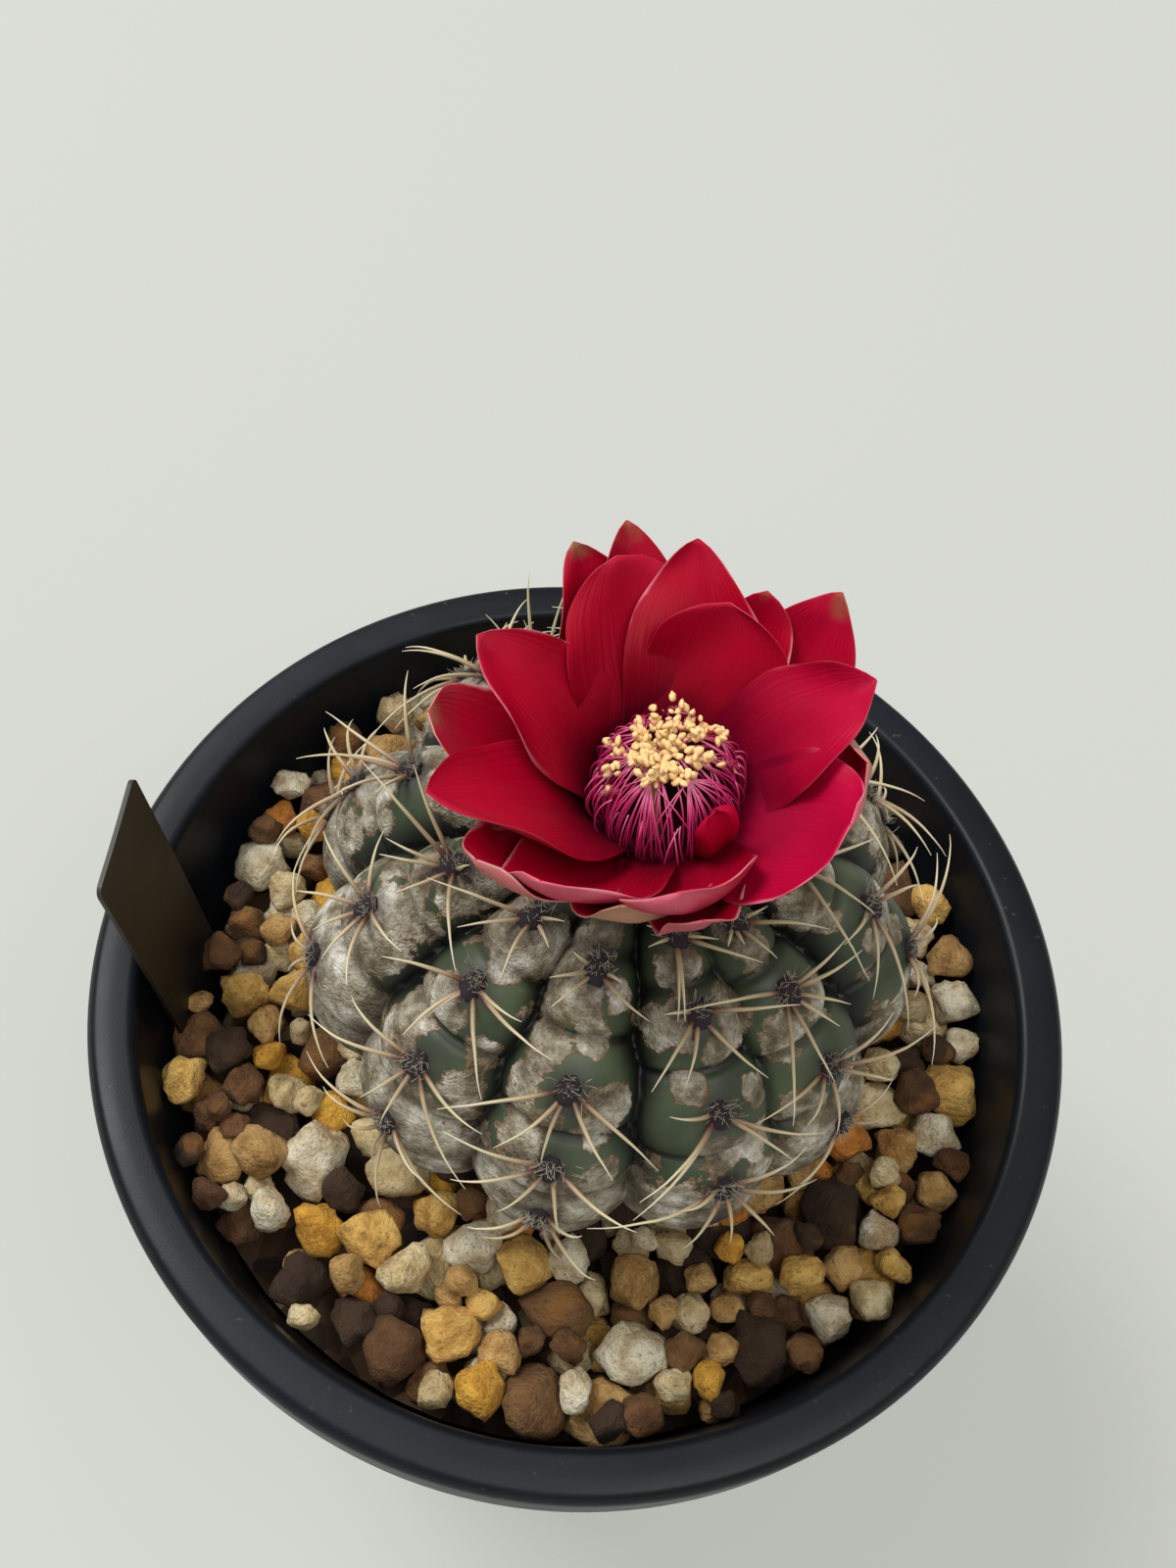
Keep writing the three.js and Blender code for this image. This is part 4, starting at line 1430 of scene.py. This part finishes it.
def make_label():
    """The strip, its rounded top corners and its pointed foot."""
    outward = Vector((math.cos(LABEL_AZIMUTH), math.sin(LABEL_AZIMUTH), 0))
    across = Vector((-outward.y, outward.x, 0))
    upward = (Vector((0, 0, 1)) + outward * math.tan(LABEL_LEAN)).normalized()
    face = across.cross(upward).normalized()
    tip = Matrix.Rotation(LABEL_TIP, 3, face)
    across, upward = tip @ across, tip @ upward
    inside = RIM_RADIUS - RIM_WIDTH - LABEL_GAP - LABEL_THICKNESS
    from_axis = math.sqrt(inside**2 - (LABEL_WIDTH / 2) ** 2)
    at_rim = outward * from_axis + Vector((0, 0, RIM_HEIGHT))
    corner_start = LABEL_ABOVE_RIM - LABEL_CORNER
    distances = list(np.linspace(-LABEL_BELOW_RIM, corner_start, LABEL_ROWS))
    for degrees in (15, 30, 45, 60, 75, 90):
        distances.append(LABEL_ABOVE_RIM - LABEL_CORNER * (1 - math.sin(math.radians(degrees))))
    rows = []
    for distance in distances:
        half = LABEL_WIDTH / 2
        from_foot = distance + LABEL_BELOW_RIM
        if from_foot < LABEL_POINT:
            half *= 0.12 + 0.88 * from_foot / LABEL_POINT
        from_top = LABEL_ABOVE_RIM - distance
        if from_top < LABEL_CORNER:
            half -= LABEL_CORNER - math.sqrt(LABEL_CORNER**2 - (LABEL_CORNER - from_top) ** 2)
        bow = 0.9 * math.sin(math.pi * from_foot / (LABEL_BELOW_RIM + LABEL_ABOVE_RIM)) - 0.45
        centre = at_rim + upward * distance - face * 0.3 * bow
        rows.append((centre, across, face, half, 0.02, 0.6 * LABEL_THICKNESS))
    label = close_right_way(build_blade("plant_label_strip", rows, 15, label_plastic_painted_shade(), 0.96))
    label.data.set_sharp_from_angle(angle=math.radians(45))
    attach(label, "root")
    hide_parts("plant_label")
    print(f"label: {len(label.data.polygons)} faces")


make_label()

# %% [markdown]
# ## The flower
# The flower is a funnel of two whorls of petals on a short scaly tube. Each petal is a blade
# whose middle line is a curve from the tube's mouth to its tip. Width, point, cupping and
# ruffle differ from petal to petal, because in life no two are alike. Cloth simulation could
# give folds, but not these folds at these places.

# %% Place of the flower
FLOWER_LEAN = math.radians(-6.8)
FLOWER_FOOT = Vector((4, -4, 146.7))
flower_turn = Matrix.Rotation(FLOWER_LEAN, 3, "Y")


def flower_point(radius, azimuth, height):
    """A point of the flower, from its distance to the axis, azimuth and height on the axis."""
    place = Vector((radius * math.cos(azimuth), radius * math.sin(azimuth), height))
    return flower_turn @ place + FLOWER_FOOT


def curve_point(knots, t):
    """A point on the smooth curve with these four control points."""
    a, b, c, d = (np.array(k, float) for k in knots)
    s = 1 - t
    return s**3 * a + 3 * s * s * t * b + 3 * s * t * t * c + t**3 * d


def blade_place(knots, t, azimuth, step=0.01):
    """Radius and height of a point of a blade's middle line, and which way its face looks."""
    radius, height = curve_point(knots, t)
    ahead = curve_point(knots, min(1, t + step)) - curve_point(knots, max(0, t - step))
    ahead /= np.linalg.norm(ahead)
    inward = Vector((-ahead[1] * math.cos(azimuth), -ahead[1] * math.sin(azimuth), ahead[0]))
    return radius, height, inward


def sideways_at(azimuth):
    """The level direction square to an azimuth."""
    return Vector((-math.sin(azimuth), math.cos(azimuth), 0))


# %% Petal finishes


def satin_petal(name, inside, outside, tip_colour, pale_edge):
    """A petal's satin skin: own colours inside and outside, a paler edge, fine veins, and a painted
    magenta sheen on the inner face where a petal stores one.
    """
    material, tree = new_material(
        name,
        IOR=1.42,
        Specular_IOR_Level=0.14,
        Subsurface_Weight=0.1,
        Subsurface_Scale=1.2 * MM,
        Subsurface_Radius=(1.0, 0.1, 0.15),
    )
    place = add_node(tree, "ShaderNodeTexCoord").outputs["Object"]
    painted_magenta_sheen, pale, olive = stored_values(tree, "painted_magenta_sheen", "pale", "olive")
    along, across, side = stored_values(tree, "along", "across", "side")
    cloud = add_node(
        tree, "ShaderNodeTexNoise", {"Vector": place, "Scale": 180, "Detail": 4, "Roughness": 0.5}
    )
    shift = add_node(
        tree, "ShaderNodeMapRange", {"Value": cloud, "To Min": -0.16, "To Max": 0.16}, clamp=False
    )
    where = add_node(tree, "ShaderNodeMath", {0: along, 1: shift}, operation="ADD")
    colour_in = add_node(tree, "ShaderNodeValToRGB", {"Fac": where}, inside)
    colour_out = add_node(tree, "ShaderNodeValToRGB", {"Fac": where}, outside)
    greenish = add_node(tree, "ShaderNodeMath", {0: olive, 1: 0.7}, operation="MULTIPLY")
    green_out = add_node(
        tree,
        "ShaderNodeMix",
        {MIX_FACTOR: greenish, MIX_A: colour_out, MIX_B: linear("a3946a")},
        data_type="RGBA",
    )
    inner_face = add_node(
        tree,
        "ShaderNodeMapRange",
        {"Value": side, "From Min": 0.3, "From Max": 0.7},
        interpolation_type="SMOOTHSTEP",
    )
    # The stored sheen paints the inner face brighter magenta towards the tip: painted sheen.
    painted_magenta_sheen_high = add_node(tree, "ShaderNodeMath", {0: painted_magenta_sheen, 1: where}, operation="MULTIPLY")
    inside_with_painted_magenta_sheen = add_node(
        tree,
        "ShaderNodeMix",
        {MIX_FACTOR: painted_magenta_sheen_high, MIX_A: colour_in, MIX_B: linear("c80c4c")},
        data_type="RGBA",
    )
    two_faced = add_node(
        tree,
        "ShaderNodeMix",
        {MIX_FACTOR: inner_face, MIX_A: green_out, MIX_B: inside_with_painted_magenta_sheen},
        data_type="RGBA",
    )
    out = add_node(tree, "ShaderNodeMath", {0: across}, operation="ABSOLUTE")
    ragged = add_node(tree, "ShaderNodeMath", {0: out, 1: shift}, operation="ADD")
    edge = add_node(
        tree,
        "ShaderNodeMapRange",
        {"Value": ragged, "From Min": 0.94, "From Max": 1.04, "To Max": 0.85},
        interpolation_type="SMOOTHSTEP",
    )
    edge_high = add_node(
        tree,
        "ShaderNodeMapRange",
        {"Value": along, "From Min": 0.45, "From Max": 0.75},
        interpolation_type="SMOOTHSTEP",
    )
    edge_here = add_node(tree, "ShaderNodeMath", {0: edge, 1: edge_high}, operation="MULTIPLY")
    edge_mask = add_node(tree, "ShaderNodeMath", {0: edge_here, 1: pale}, operation="MULTIPLY")
    edged = add_node(
        tree,
        "ShaderNodeMix",
        {MIX_FACTOR: edge_mask, MIX_A: two_faced, MIX_B: linear(pale_edge)},
        data_type="RGBA",
    )
    tip_place = add_node(tree, "ShaderNodeMath", {0: out, 1: -0.06, 2: where}, operation="MULTIPLY_ADD")
    tip = add_node(
        tree,
        "ShaderNodeMapRange",
        {"Value": tip_place, "From Min": 0.9, "From Max": 1.02},
        interpolation_type="SMOOTHSTEP",
    )
    tip_mask = add_node(tree, "ShaderNodeMath", {0: tip, 1: olive}, operation="MULTIPLY")
    tipped = add_node(
        tree,
        "ShaderNodeMix",
        {MIX_FACTOR: tip_mask, MIX_A: edged, MIX_B: linear(tip_colour)},
        data_type="RGBA",
    )
    streak_place = add_node(tree, "ShaderNodeCombineXYZ", {"X": across, "Y": along})
    stretch = add_node(
        tree, "ShaderNodeVectorMath", {0: streak_place, 1: (16.0, 1.2, 1.0)}, operation="MULTIPLY"
    )
    veins = add_node(tree, "ShaderNodeTexNoise", {"Vector": stretch, "Scale": 1.0, "Detail": 3})
    bump = add_node(tree, "ShaderNodeBump", {"Strength": 0.35, "Distance": 0.00035, "Height": veins})
    rough = add_node(
        tree,
        "ShaderNodeMapRange",
        {"Value": veins, "From Min": 0.3, "From Max": 0.7, "To Min": 0.36, "To Max": 0.52},
    )
    return end_finish(material, tipped, rough, bump)


# The inner face is painted darker towards the throat: painted shade of the deep bowl.
CRIMSON_INSIDE_THROAT_SHADE = [(0.06, "22020b"), (0.28, "520012"), (0.51, "86001a"), (0.82, "a20022"), (1.0, "a8082c")]
INNER_PETAL = satin_petal(
    "satin_inner_petal",
    CRIMSON_INSIDE_THROAT_SHADE,
    [(0.0, "5e1024"), (0.5, "96142f"), (0.85, "b8374e"), (1.0, "cb6676")],
    tip_colour="9b5a50",
    pale_edge="e08a9a",
)
OUTER_PETAL = satin_petal(
    "satin_outer_petal",
    CRIMSON_INSIDE_THROAT_SHADE,
    [(0.0, "6e6e44"), (0.3, "9a6a58"), (0.6, "ad4656"), (1.0, "bd6068")],
    tip_colour="7c6a45",
    pale_edge="d9a0a0",
)

# %% Shape of the petals
# For each petal: azimuth, tip radius, tip height, width, point (0 round to 1 sharp), cup
# (above 0 curls in, below 0 turns out) and how olive its tip and its outer face are.
INNER_PETALS = [
    (24, 20.3, 24.8, 12.5, 0.85, -0.5, 0.2),
    (75, 15.5, 23.8, 14.0, 0.1, 0.1, 0.0),
    (86, 20.0, 26.0, 13.5, 0.75, -0.1, 0.1),
    (111.5, 18.2, 25.5, 15.5, 0.2, 0.15, 0.0),
    (159, 17.9, 25.8, 13.5, 0.7, -0.2, 0.1),
    (211, 20.4, 24.9, 14.5, 0.7, -0.1, 0.0),
    (250, 17.6, 24.0, 13.0, 0.15, 0.75, 0.0),
    (288, 16.2, 24.0, 12.5, 0.1, 0.85, 0.0),
    (336, 19.5, 25.2, 16.0, 0.3, 0.4, 0.0),
]
OUTER_PETALS = [
    (2, 19.0, 22.4, 11.5, 0.4, 0.6, 0.6),
    (49, 22.9, 23.9, 12.0, 0.8, 0.1, 0.45),
    (67, 18.6, 23.6, 9.0, 0.4, 0.1, 0.9),
    (105, 22.2, 25.6, 11.0, 0.75, -0.1, 0.7),
    (121.5, 20.9, 25.5, 11.5, 0.65, 0.1, 0.8),
    (183, 20.0, 23.4, 14.5, 0.2, 0.4, 0.5),
    (231, 19.4, 23.2, 13.0, 0.3, 0.5, 0.2),
    (272, 15.8, 20.6, 12.0, 0.2, 0.7, 0.8),
    (294, 17.5, 20.6, 9.0, 0.2, 0.4, 0.0),
]
INNER_FOOT = (5.3, 9.7)
OUTER_FOOT = (7.1, 8.2)
PETAL_ROWS = 44
PETAL_COLUMNS = 22
PETAL_THICKNESS = 0.55
# Each petal is turned a little, so that one edge lies over its neighbour and the other under.
PETAL_TILT = 0.13
# The throat is a little off the middle of the flower.
THROAT_SHIFT = 1.5


def petal_half_width(t, width, point):
    """Half the width at a share t of the length: narrow foot, widest past the middle."""
    widest = 0.56
    if t < widest:
        return width / 2 * (0.52 + 0.48 * math.sin(t / widest * math.pi / 2))
    s = (t - widest) / (1 - widest)
    round_end = math.sqrt(max(0, 1 - s**2.6))
    sharp_end = (1 - s**1.35) ** 0.85
    return max(0.12, width / 2 * ((1 - point) * round_end + point * sharp_end))


def make_petal(name, node, foot, row, seed, material):
    """One petal, from its line in the table."""
    azimuth, tip_radius, tip_height, width, point, cup, olive = row
    azimuth = math.radians(azimuth)
    rng = random.Random(seed)
    reach = np.array([tip_radius - foot[0], tip_height - foot[1]])
    length = float(np.linalg.norm(reach))
    slope = math.atan2(reach[1], reach[0])
    leave = slope + 0.38
    arrive = slope + 0.62 * cup
    knots = [
        foot,
        (foot[0] + 0.34 * length * math.cos(leave), foot[1] + 0.34 * length * math.sin(leave)),
        (tip_radius - 0.4 * length * math.cos(arrive), tip_height - 0.4 * length * math.sin(arrive)),
        (tip_radius, tip_height),
    ]
    if cup > 0:
        # The tip bends back up over the flower.
        beyond = np.array([tip_radius + 1.1, tip_height - 0.45 * length])
        knots[2] = (1 - cup) * np.array(knots[2]) + cup * beyond
    phase, second_phase = rng.uniform(0, 6.3), rng.uniform(0, 6.3)
    waves = rng.uniform(1.3, 2.3)
    sway = rng.uniform(-0.5, 0.5)
    across = sideways_at(azimuth)

    def ruffle(t, s, half):
        edge = 0.85 * np.sin(2 * math.pi * waves * t + phase + s) * np.abs(s) ** 2.4
        other = 0.5 * np.sin(2 * math.pi * 1.1 * t + second_phase + 2.4 * s) * (0.3 + s * s)
        midrib = -0.22 * np.exp(-((s / 0.13) ** 2)) * (1 - 0.6 * t)
        crinkle = 0.13 * np.sin(13 * t + 5 * s + second_phase)
        return t * (edge + other + crinkle) * min(1.0, half / 3) + midrib * min(1.0, half / 2)

    rows = []
    for number in range(PETAL_ROWS):
        t = number / (PETAL_ROWS - 1)
        radius, height, inward = blade_place(knots, t, azimuth)
        side = sway * math.sin(t * math.pi * 0.5) ** 2 + 0.35 * t * math.sin(5 * t + second_phase)
        centre = flower_point(radius, azimuth, height) + flower_turn @ (across * side)
        centre.x += THROAT_SHIFT * math.sin(t * math.pi)
        arc = 0.62 - 0.22 * t + 0.15 * max(0, cup)
        thickness = PETAL_THICKNESS * (1.15 - 0.6 * t)
        notch = 1 + t * (0.045 * math.sin(9 * t + phase) + 0.02 * math.sin(24 * t + second_phase))
        half = petal_half_width(t, width, point) * notch
        sideways = across * math.cos(PETAL_TILT) + inward * math.sin(PETAL_TILT)
        upward = inward * math.cos(PETAL_TILT) - across * math.sin(PETAL_TILT)
        rows.append((centre, flower_turn @ sideways, flower_turn @ upward, half, arc, thickness))
    extra = {
        "olive": olive,
        # Petals on the right of the flower get a painted magenta sheen.
        "painted_magenta_sheen": 0.55 * math.exp(-((angle_between(azimuth, -0.2) / 0.8) ** 2)),
        "pale": rng.choice((0.0, 0.25, 0.8)) if cup < 0.4 else 0.9,
    }
    petal = build_blade(name, rows, PETAL_COLUMNS, material, 0.25, ruffle, extra)
    close_right_way(petal)
    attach(petal, "root")
    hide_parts(node)
    return petal


for number, row in enumerate(INNER_PETALS, start=1):
    node = f"petal_inner_{number}"
    make_petal(f"inner_petal_{number}", node, INNER_FOOT, row, number, INNER_PETAL)
for number, row in enumerate(OUTER_PETALS, start=1):
    node = f"petal_outer_{number}"
    make_petal(f"outer_petal_{number}", node, OUTER_FOOT, row, 20 + number, OUTER_PETAL)
print(f"flower: {len(INNER_PETALS) + len(OUTER_PETALS)} petals")

# %% [markdown]
# Beside the stamens stands one stunted petal, curled up like a spoon.

# %% Curled petal
CURLED_AZIMUTH = math.radians(310)
CURLED_WIDTH = 4.4
CURLED_ROWS = 30
CURLED_LINE = [(6.6, 12.0), (8.8, 15.2), (9.6, 19.5), (7.4, 21.6)]


def make_curled_petal():
    """A small spoon-shaped petal whose face looks to the flower's axis."""
    across = sideways_at(CURLED_AZIMUTH)
    rows = []
    for number in range(CURLED_ROWS):
        t = number / (CURLED_ROWS - 1)
        radius, height, inward = blade_place(CURLED_LINE, t, CURLED_AZIMUTH)
        half = petal_half_width(t, CURLED_WIDTH, 0.0) * (1 + 0.1 * math.sin(9 * t))
        place = flower_point(radius, CURLED_AZIMUTH, height) + Vector((1.3 * THROAT_SHIFT, 0, 0))
        rows.append((place, flower_turn @ across, flower_turn @ inward, half, 0.9, 0.4))

    def fold(t, s, half):
        return 0.7 * t * np.sin(4.2 * s + 2.5 * t) + 0.5 * t * np.abs(s) ** 2

    # Inner colour on both faces, with a little painted magenta sheen.
    petal = build_blade("curled_petal", rows, 24, INNER_PETAL, 0.4, fold, {"painted_magenta_sheen": 0.2, "side": 1.0})
    close_right_way(petal)
    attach(petal, "root")
    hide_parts("petal_curled")


make_curled_petal()

# %% [markdown]
# ## Stamens and style
# Hundreds of magenta filaments stand on the wall of the throat, bow outwards and lean in to
# clumps of cream-yellow anthers. They are threads and copies again.

# %% Stamen finishes
MAGENTA_FILAMENT = thread_finish(
    "magenta_filament",
    [(0.0, "6a0a30"), (0.35, "a01854"), (0.75, "c8306f"), (1.0, "dc7a9c")],
    roughness=0.4,
    mottle=0.1,
    subsurface=0.1,
)
POLLEN_YELLOW = thread_finish(
    "powdery_yellow_anther",
    [(0.0, "ecc78a"), (0.5, "f6dba4"), (1.0, "fdedc8")],
    roughness=0.85,
    mottle=0.9,
)
PALE_STYLE = thread_finish(
    "pale_yellow_style",
    [(0.0, "b8a85c"), (0.6, "e0cf8a"), (1.0, "f3e6b4")],
    roughness=0.5,
    mottle=0.1,
    subsurface=0.1,
)

# %% Grow the stamens
FILAMENTS = 240
FILAMENT_RADIUS = 0.085
ANTHER_CLUMPS = 30
GRAINS_PER_CLUMP = 12
# A clump this far from the axis has strayed, and is half as rich.
STRAY_RADIUS = 4.6
STIGMA_LOBES = 8


def make_stamens():
    """Filaments that lean together, and the anthers in clumps at their ends."""
    rng = random.Random(17)
    clumps = []
    for number in range(ANTHER_CLUMPS):
        spread = 4.1 * math.sqrt((number + 0.5) / ANTHER_CLUMPS) * rng.uniform(0.8, 1.2)
        azimuth = 2.4 * number
        if number % 3 == 2:
            # Every third clump strays to the far side or the left.
            spread, azimuth = rng.uniform(STRAY_RADIUS, 6.3), rng.uniform(0.2, 4.2)
        clumps.append((spread, azimuth, 20.2 + rng.uniform(-1.2, 1.2) - 0.07 * spread**2))
    paths, anthers, turns, sizes = [], [], [], []
    for number in range(FILAMENTS):
        azimuth = 2 * math.pi * (number * 0.618 % 1)
        root_height = rng.uniform(7.5, 12.5)
        root_radius = 3.6 + 0.5 * (root_height - 7.5)
        wish = flower_point(5.6 * math.sqrt(rng.random()), azimuth + rng.gauss(0, 0.25), 20)
        end_radius, end_azimuth, end_height = min(
            clumps, key=lambda clump: (flower_point(*clump) - wish).length
        )
        if rng.random() < 0.14:
            end_radius, end_azimuth, end_height = 6.4, azimuth, 18.2 + rng.uniform(-1, 1)
        belly = 6.5 + rng.uniform(0, 1.8) + 1.5 * max(0, -math.sin(azimuth))
        knots = [
            flower_point(root_radius, azimuth, root_height),
            flower_point(belly, azimuth + rng.gauss(0, 0.08), root_height + 3.4),
            flower_point(0.8 * belly + 0.25 * end_radius, azimuth + rng.gauss(0, 0.1), end_height - 0.6),
            flower_point(end_radius, end_azimuth, end_height),
        ]
        path = []
        for step in range(14):
            u = step / 13
            point = curve_point(knots, u)
            point[0] += THROAT_SHIFT
            path.append((tuple(point), FILAMENT_RADIUS * (1.15 - 0.35 * u)))
        paths.append(path)
    for spread, azimuth, height in clumps:
        middle = flower_point(spread, azimuth, height + 0.5) + Vector((THROAT_SHIFT, 0, 0))
        for _ in range(GRAINS_PER_CLUMP if spread < STRAY_RADIUS else GRAINS_PER_CLUMP // 2):
            anthers.append(tuple(middle + Vector([rng.gauss(0, 0.42) for _ in range(3)])))
            turns.append([rng.uniform(0, 6.3) for _ in range(3)])
            size = rng.uniform(0.7, 1.3)
            sizes.append([0.34 * size, 0.24 * size, 0.46 * size])
    filaments = grow_threads("filaments", paths, MAGENTA_FILAMENT, sides=6, crookedness=0.7, seed=9.0)
    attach(filaments, "root")
    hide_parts("stamens")
    shapes = lumpy_grains("grain", subdivisions=2, swell=0.3, lumps=1700, apart=5)
    values = {"shape": [i % 2 for i in range(len(anthers))], "turn": turns, "size": sizes}
    grains = grow_copies("anthers", anthers, shapes, POLLEN_YELLOW, values)
    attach(grains, "root")
    print(f"stamens: {len(paths)} filaments, {len(anthers)} anthers")


def make_style():
    """The style and the eight lobes of its stigma."""
    rng = random.Random(29)
    column = [(tuple(flower_point(0.01, 0, 5.2 + 12.4 * u / 11)), 0.8) for u in range(12)]
    paths = [column]
    for lobe in range(STIGMA_LOBES):
        azimuth = 2 * math.pi * lobe / STIGMA_LOBES
        tip = rng.uniform(1.6, 2.2)
        path = []
        for step in range(7):
            u = step / 6
            place = flower_point(0.3 + tip * u, azimuth, 17.2 + 1.9 * u - 0.7 * u * u)
            path.append((tuple(place), 0.42 * (1 - 0.55 * u)))
        paths.append(path)
    style = grow_threads("style_and_stigma", paths, PALE_STYLE, sides=14)
    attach(style, "root")
    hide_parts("style")


make_stamens()
make_style()

# %% [markdown]
# ## Flower tube
# Under the petals is a short green tube with broad, pink-edged scales lying on it like tiles.

# %% Tube and scales
TUBE_COLUMNS = 64
SCALE_COUNT = 16
SCALE_WIDTH = 5.0
SCALE_ROWS = 16
# Leaves, scales and seeds grow this many degrees round from the last one.
GOLDEN_ANGLE = 137.5


def make_tube():
    """The tube, turned from its section, and its scales, all in one piece."""
    green = satin_petal(
        "waxy_green_scale",
        [(0.0, "2c040c"), (0.6, "4a0814"), (1.0, "6a1024")],
        [(0.0, "4f6240"), (0.6, "73804e"), (0.85, "a08a68"), (1.0, "cf9c98")],
        tip_colour="d8a5a8",
        pale_edge="d9a5a5",
    )
    section = [(-1.6, 3.6), (0, 4.0), (3, 4.6), (6, 5.3), (8.4, 6.0), (9.2, 6.6)]
    lining = [(9.3, 6.0), (8, 4.7), (5, 3.4), (3.6, 1.4)]
    ring = [(radius, height) for height, radius in section + lining]
    columns = TUBE_COLUMNS
    points = []
    for radius, height in ring:
        for column in range(columns):
            points.append(tuple(flower_point(radius, 2 * math.pi * column / columns, height)))
    points.append(tuple(flower_point(0, 0, -1.8)))
    points.append(tuple(flower_point(0, 0, 3.5)))
    faces = grid_faces(len(ring), columns, wrap=True)
    faces += end_faces(len(points) - 2, len(points) - 1, (len(ring) - 1) * columns, columns)
    zeros = np.zeros(len(points))
    inside = zeros.copy()
    inside[len(section) * columns:-2] = 1
    inside[-1] = 1
    values = {"along": zeros + 0.2, "across": zeros, "side": inside, "olive": zeros}
    tube = build_piece("flower_tube_with_scales", points, faces, green, values)
    parts = [tube]
    for number in range(SCALE_COUNT):
        azimuth = math.radians(GOLDEN_ANGLE * number)
        level = 0.4 + 7.0 * number / SCALE_COUNT
        across = sideways_at(azimuth)
        start = 4.05 + 0.2 * level
        knots = [
            (start - 0.3, level),
            (start + 1.1, level + 1.2),
            (start + 1.2, level + 2.8),
            (start + 1.0, level + 4.3),
        ]
        rows = []
        for step in range(SCALE_ROWS):
            t = step / (SCALE_ROWS - 1)
            radius, height, inward = blade_place(knots, t, azimuth, step=0.02)
            half = petal_half_width(t, SCALE_WIDTH, 0.35)
            place = flower_point(radius, azimuth, height)
            rows.append((place, flower_turn @ across, flower_turn @ inward, half, 0.6, 0.5))
        scale = build_blade(f"scale_{number}", rows, 9, green, 0.3, None, {"olive": 0.5})
        parts.append(close_right_way(scale))
    with bpy.context.temp_override(active_object=tube, selected_editable_objects=parts):
        bpy.ops.object.join()
    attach(tube, "root")
    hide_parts("flower_tube")
    print(f"tube: {len(tube.data.polygons)} faces")


make_tube()
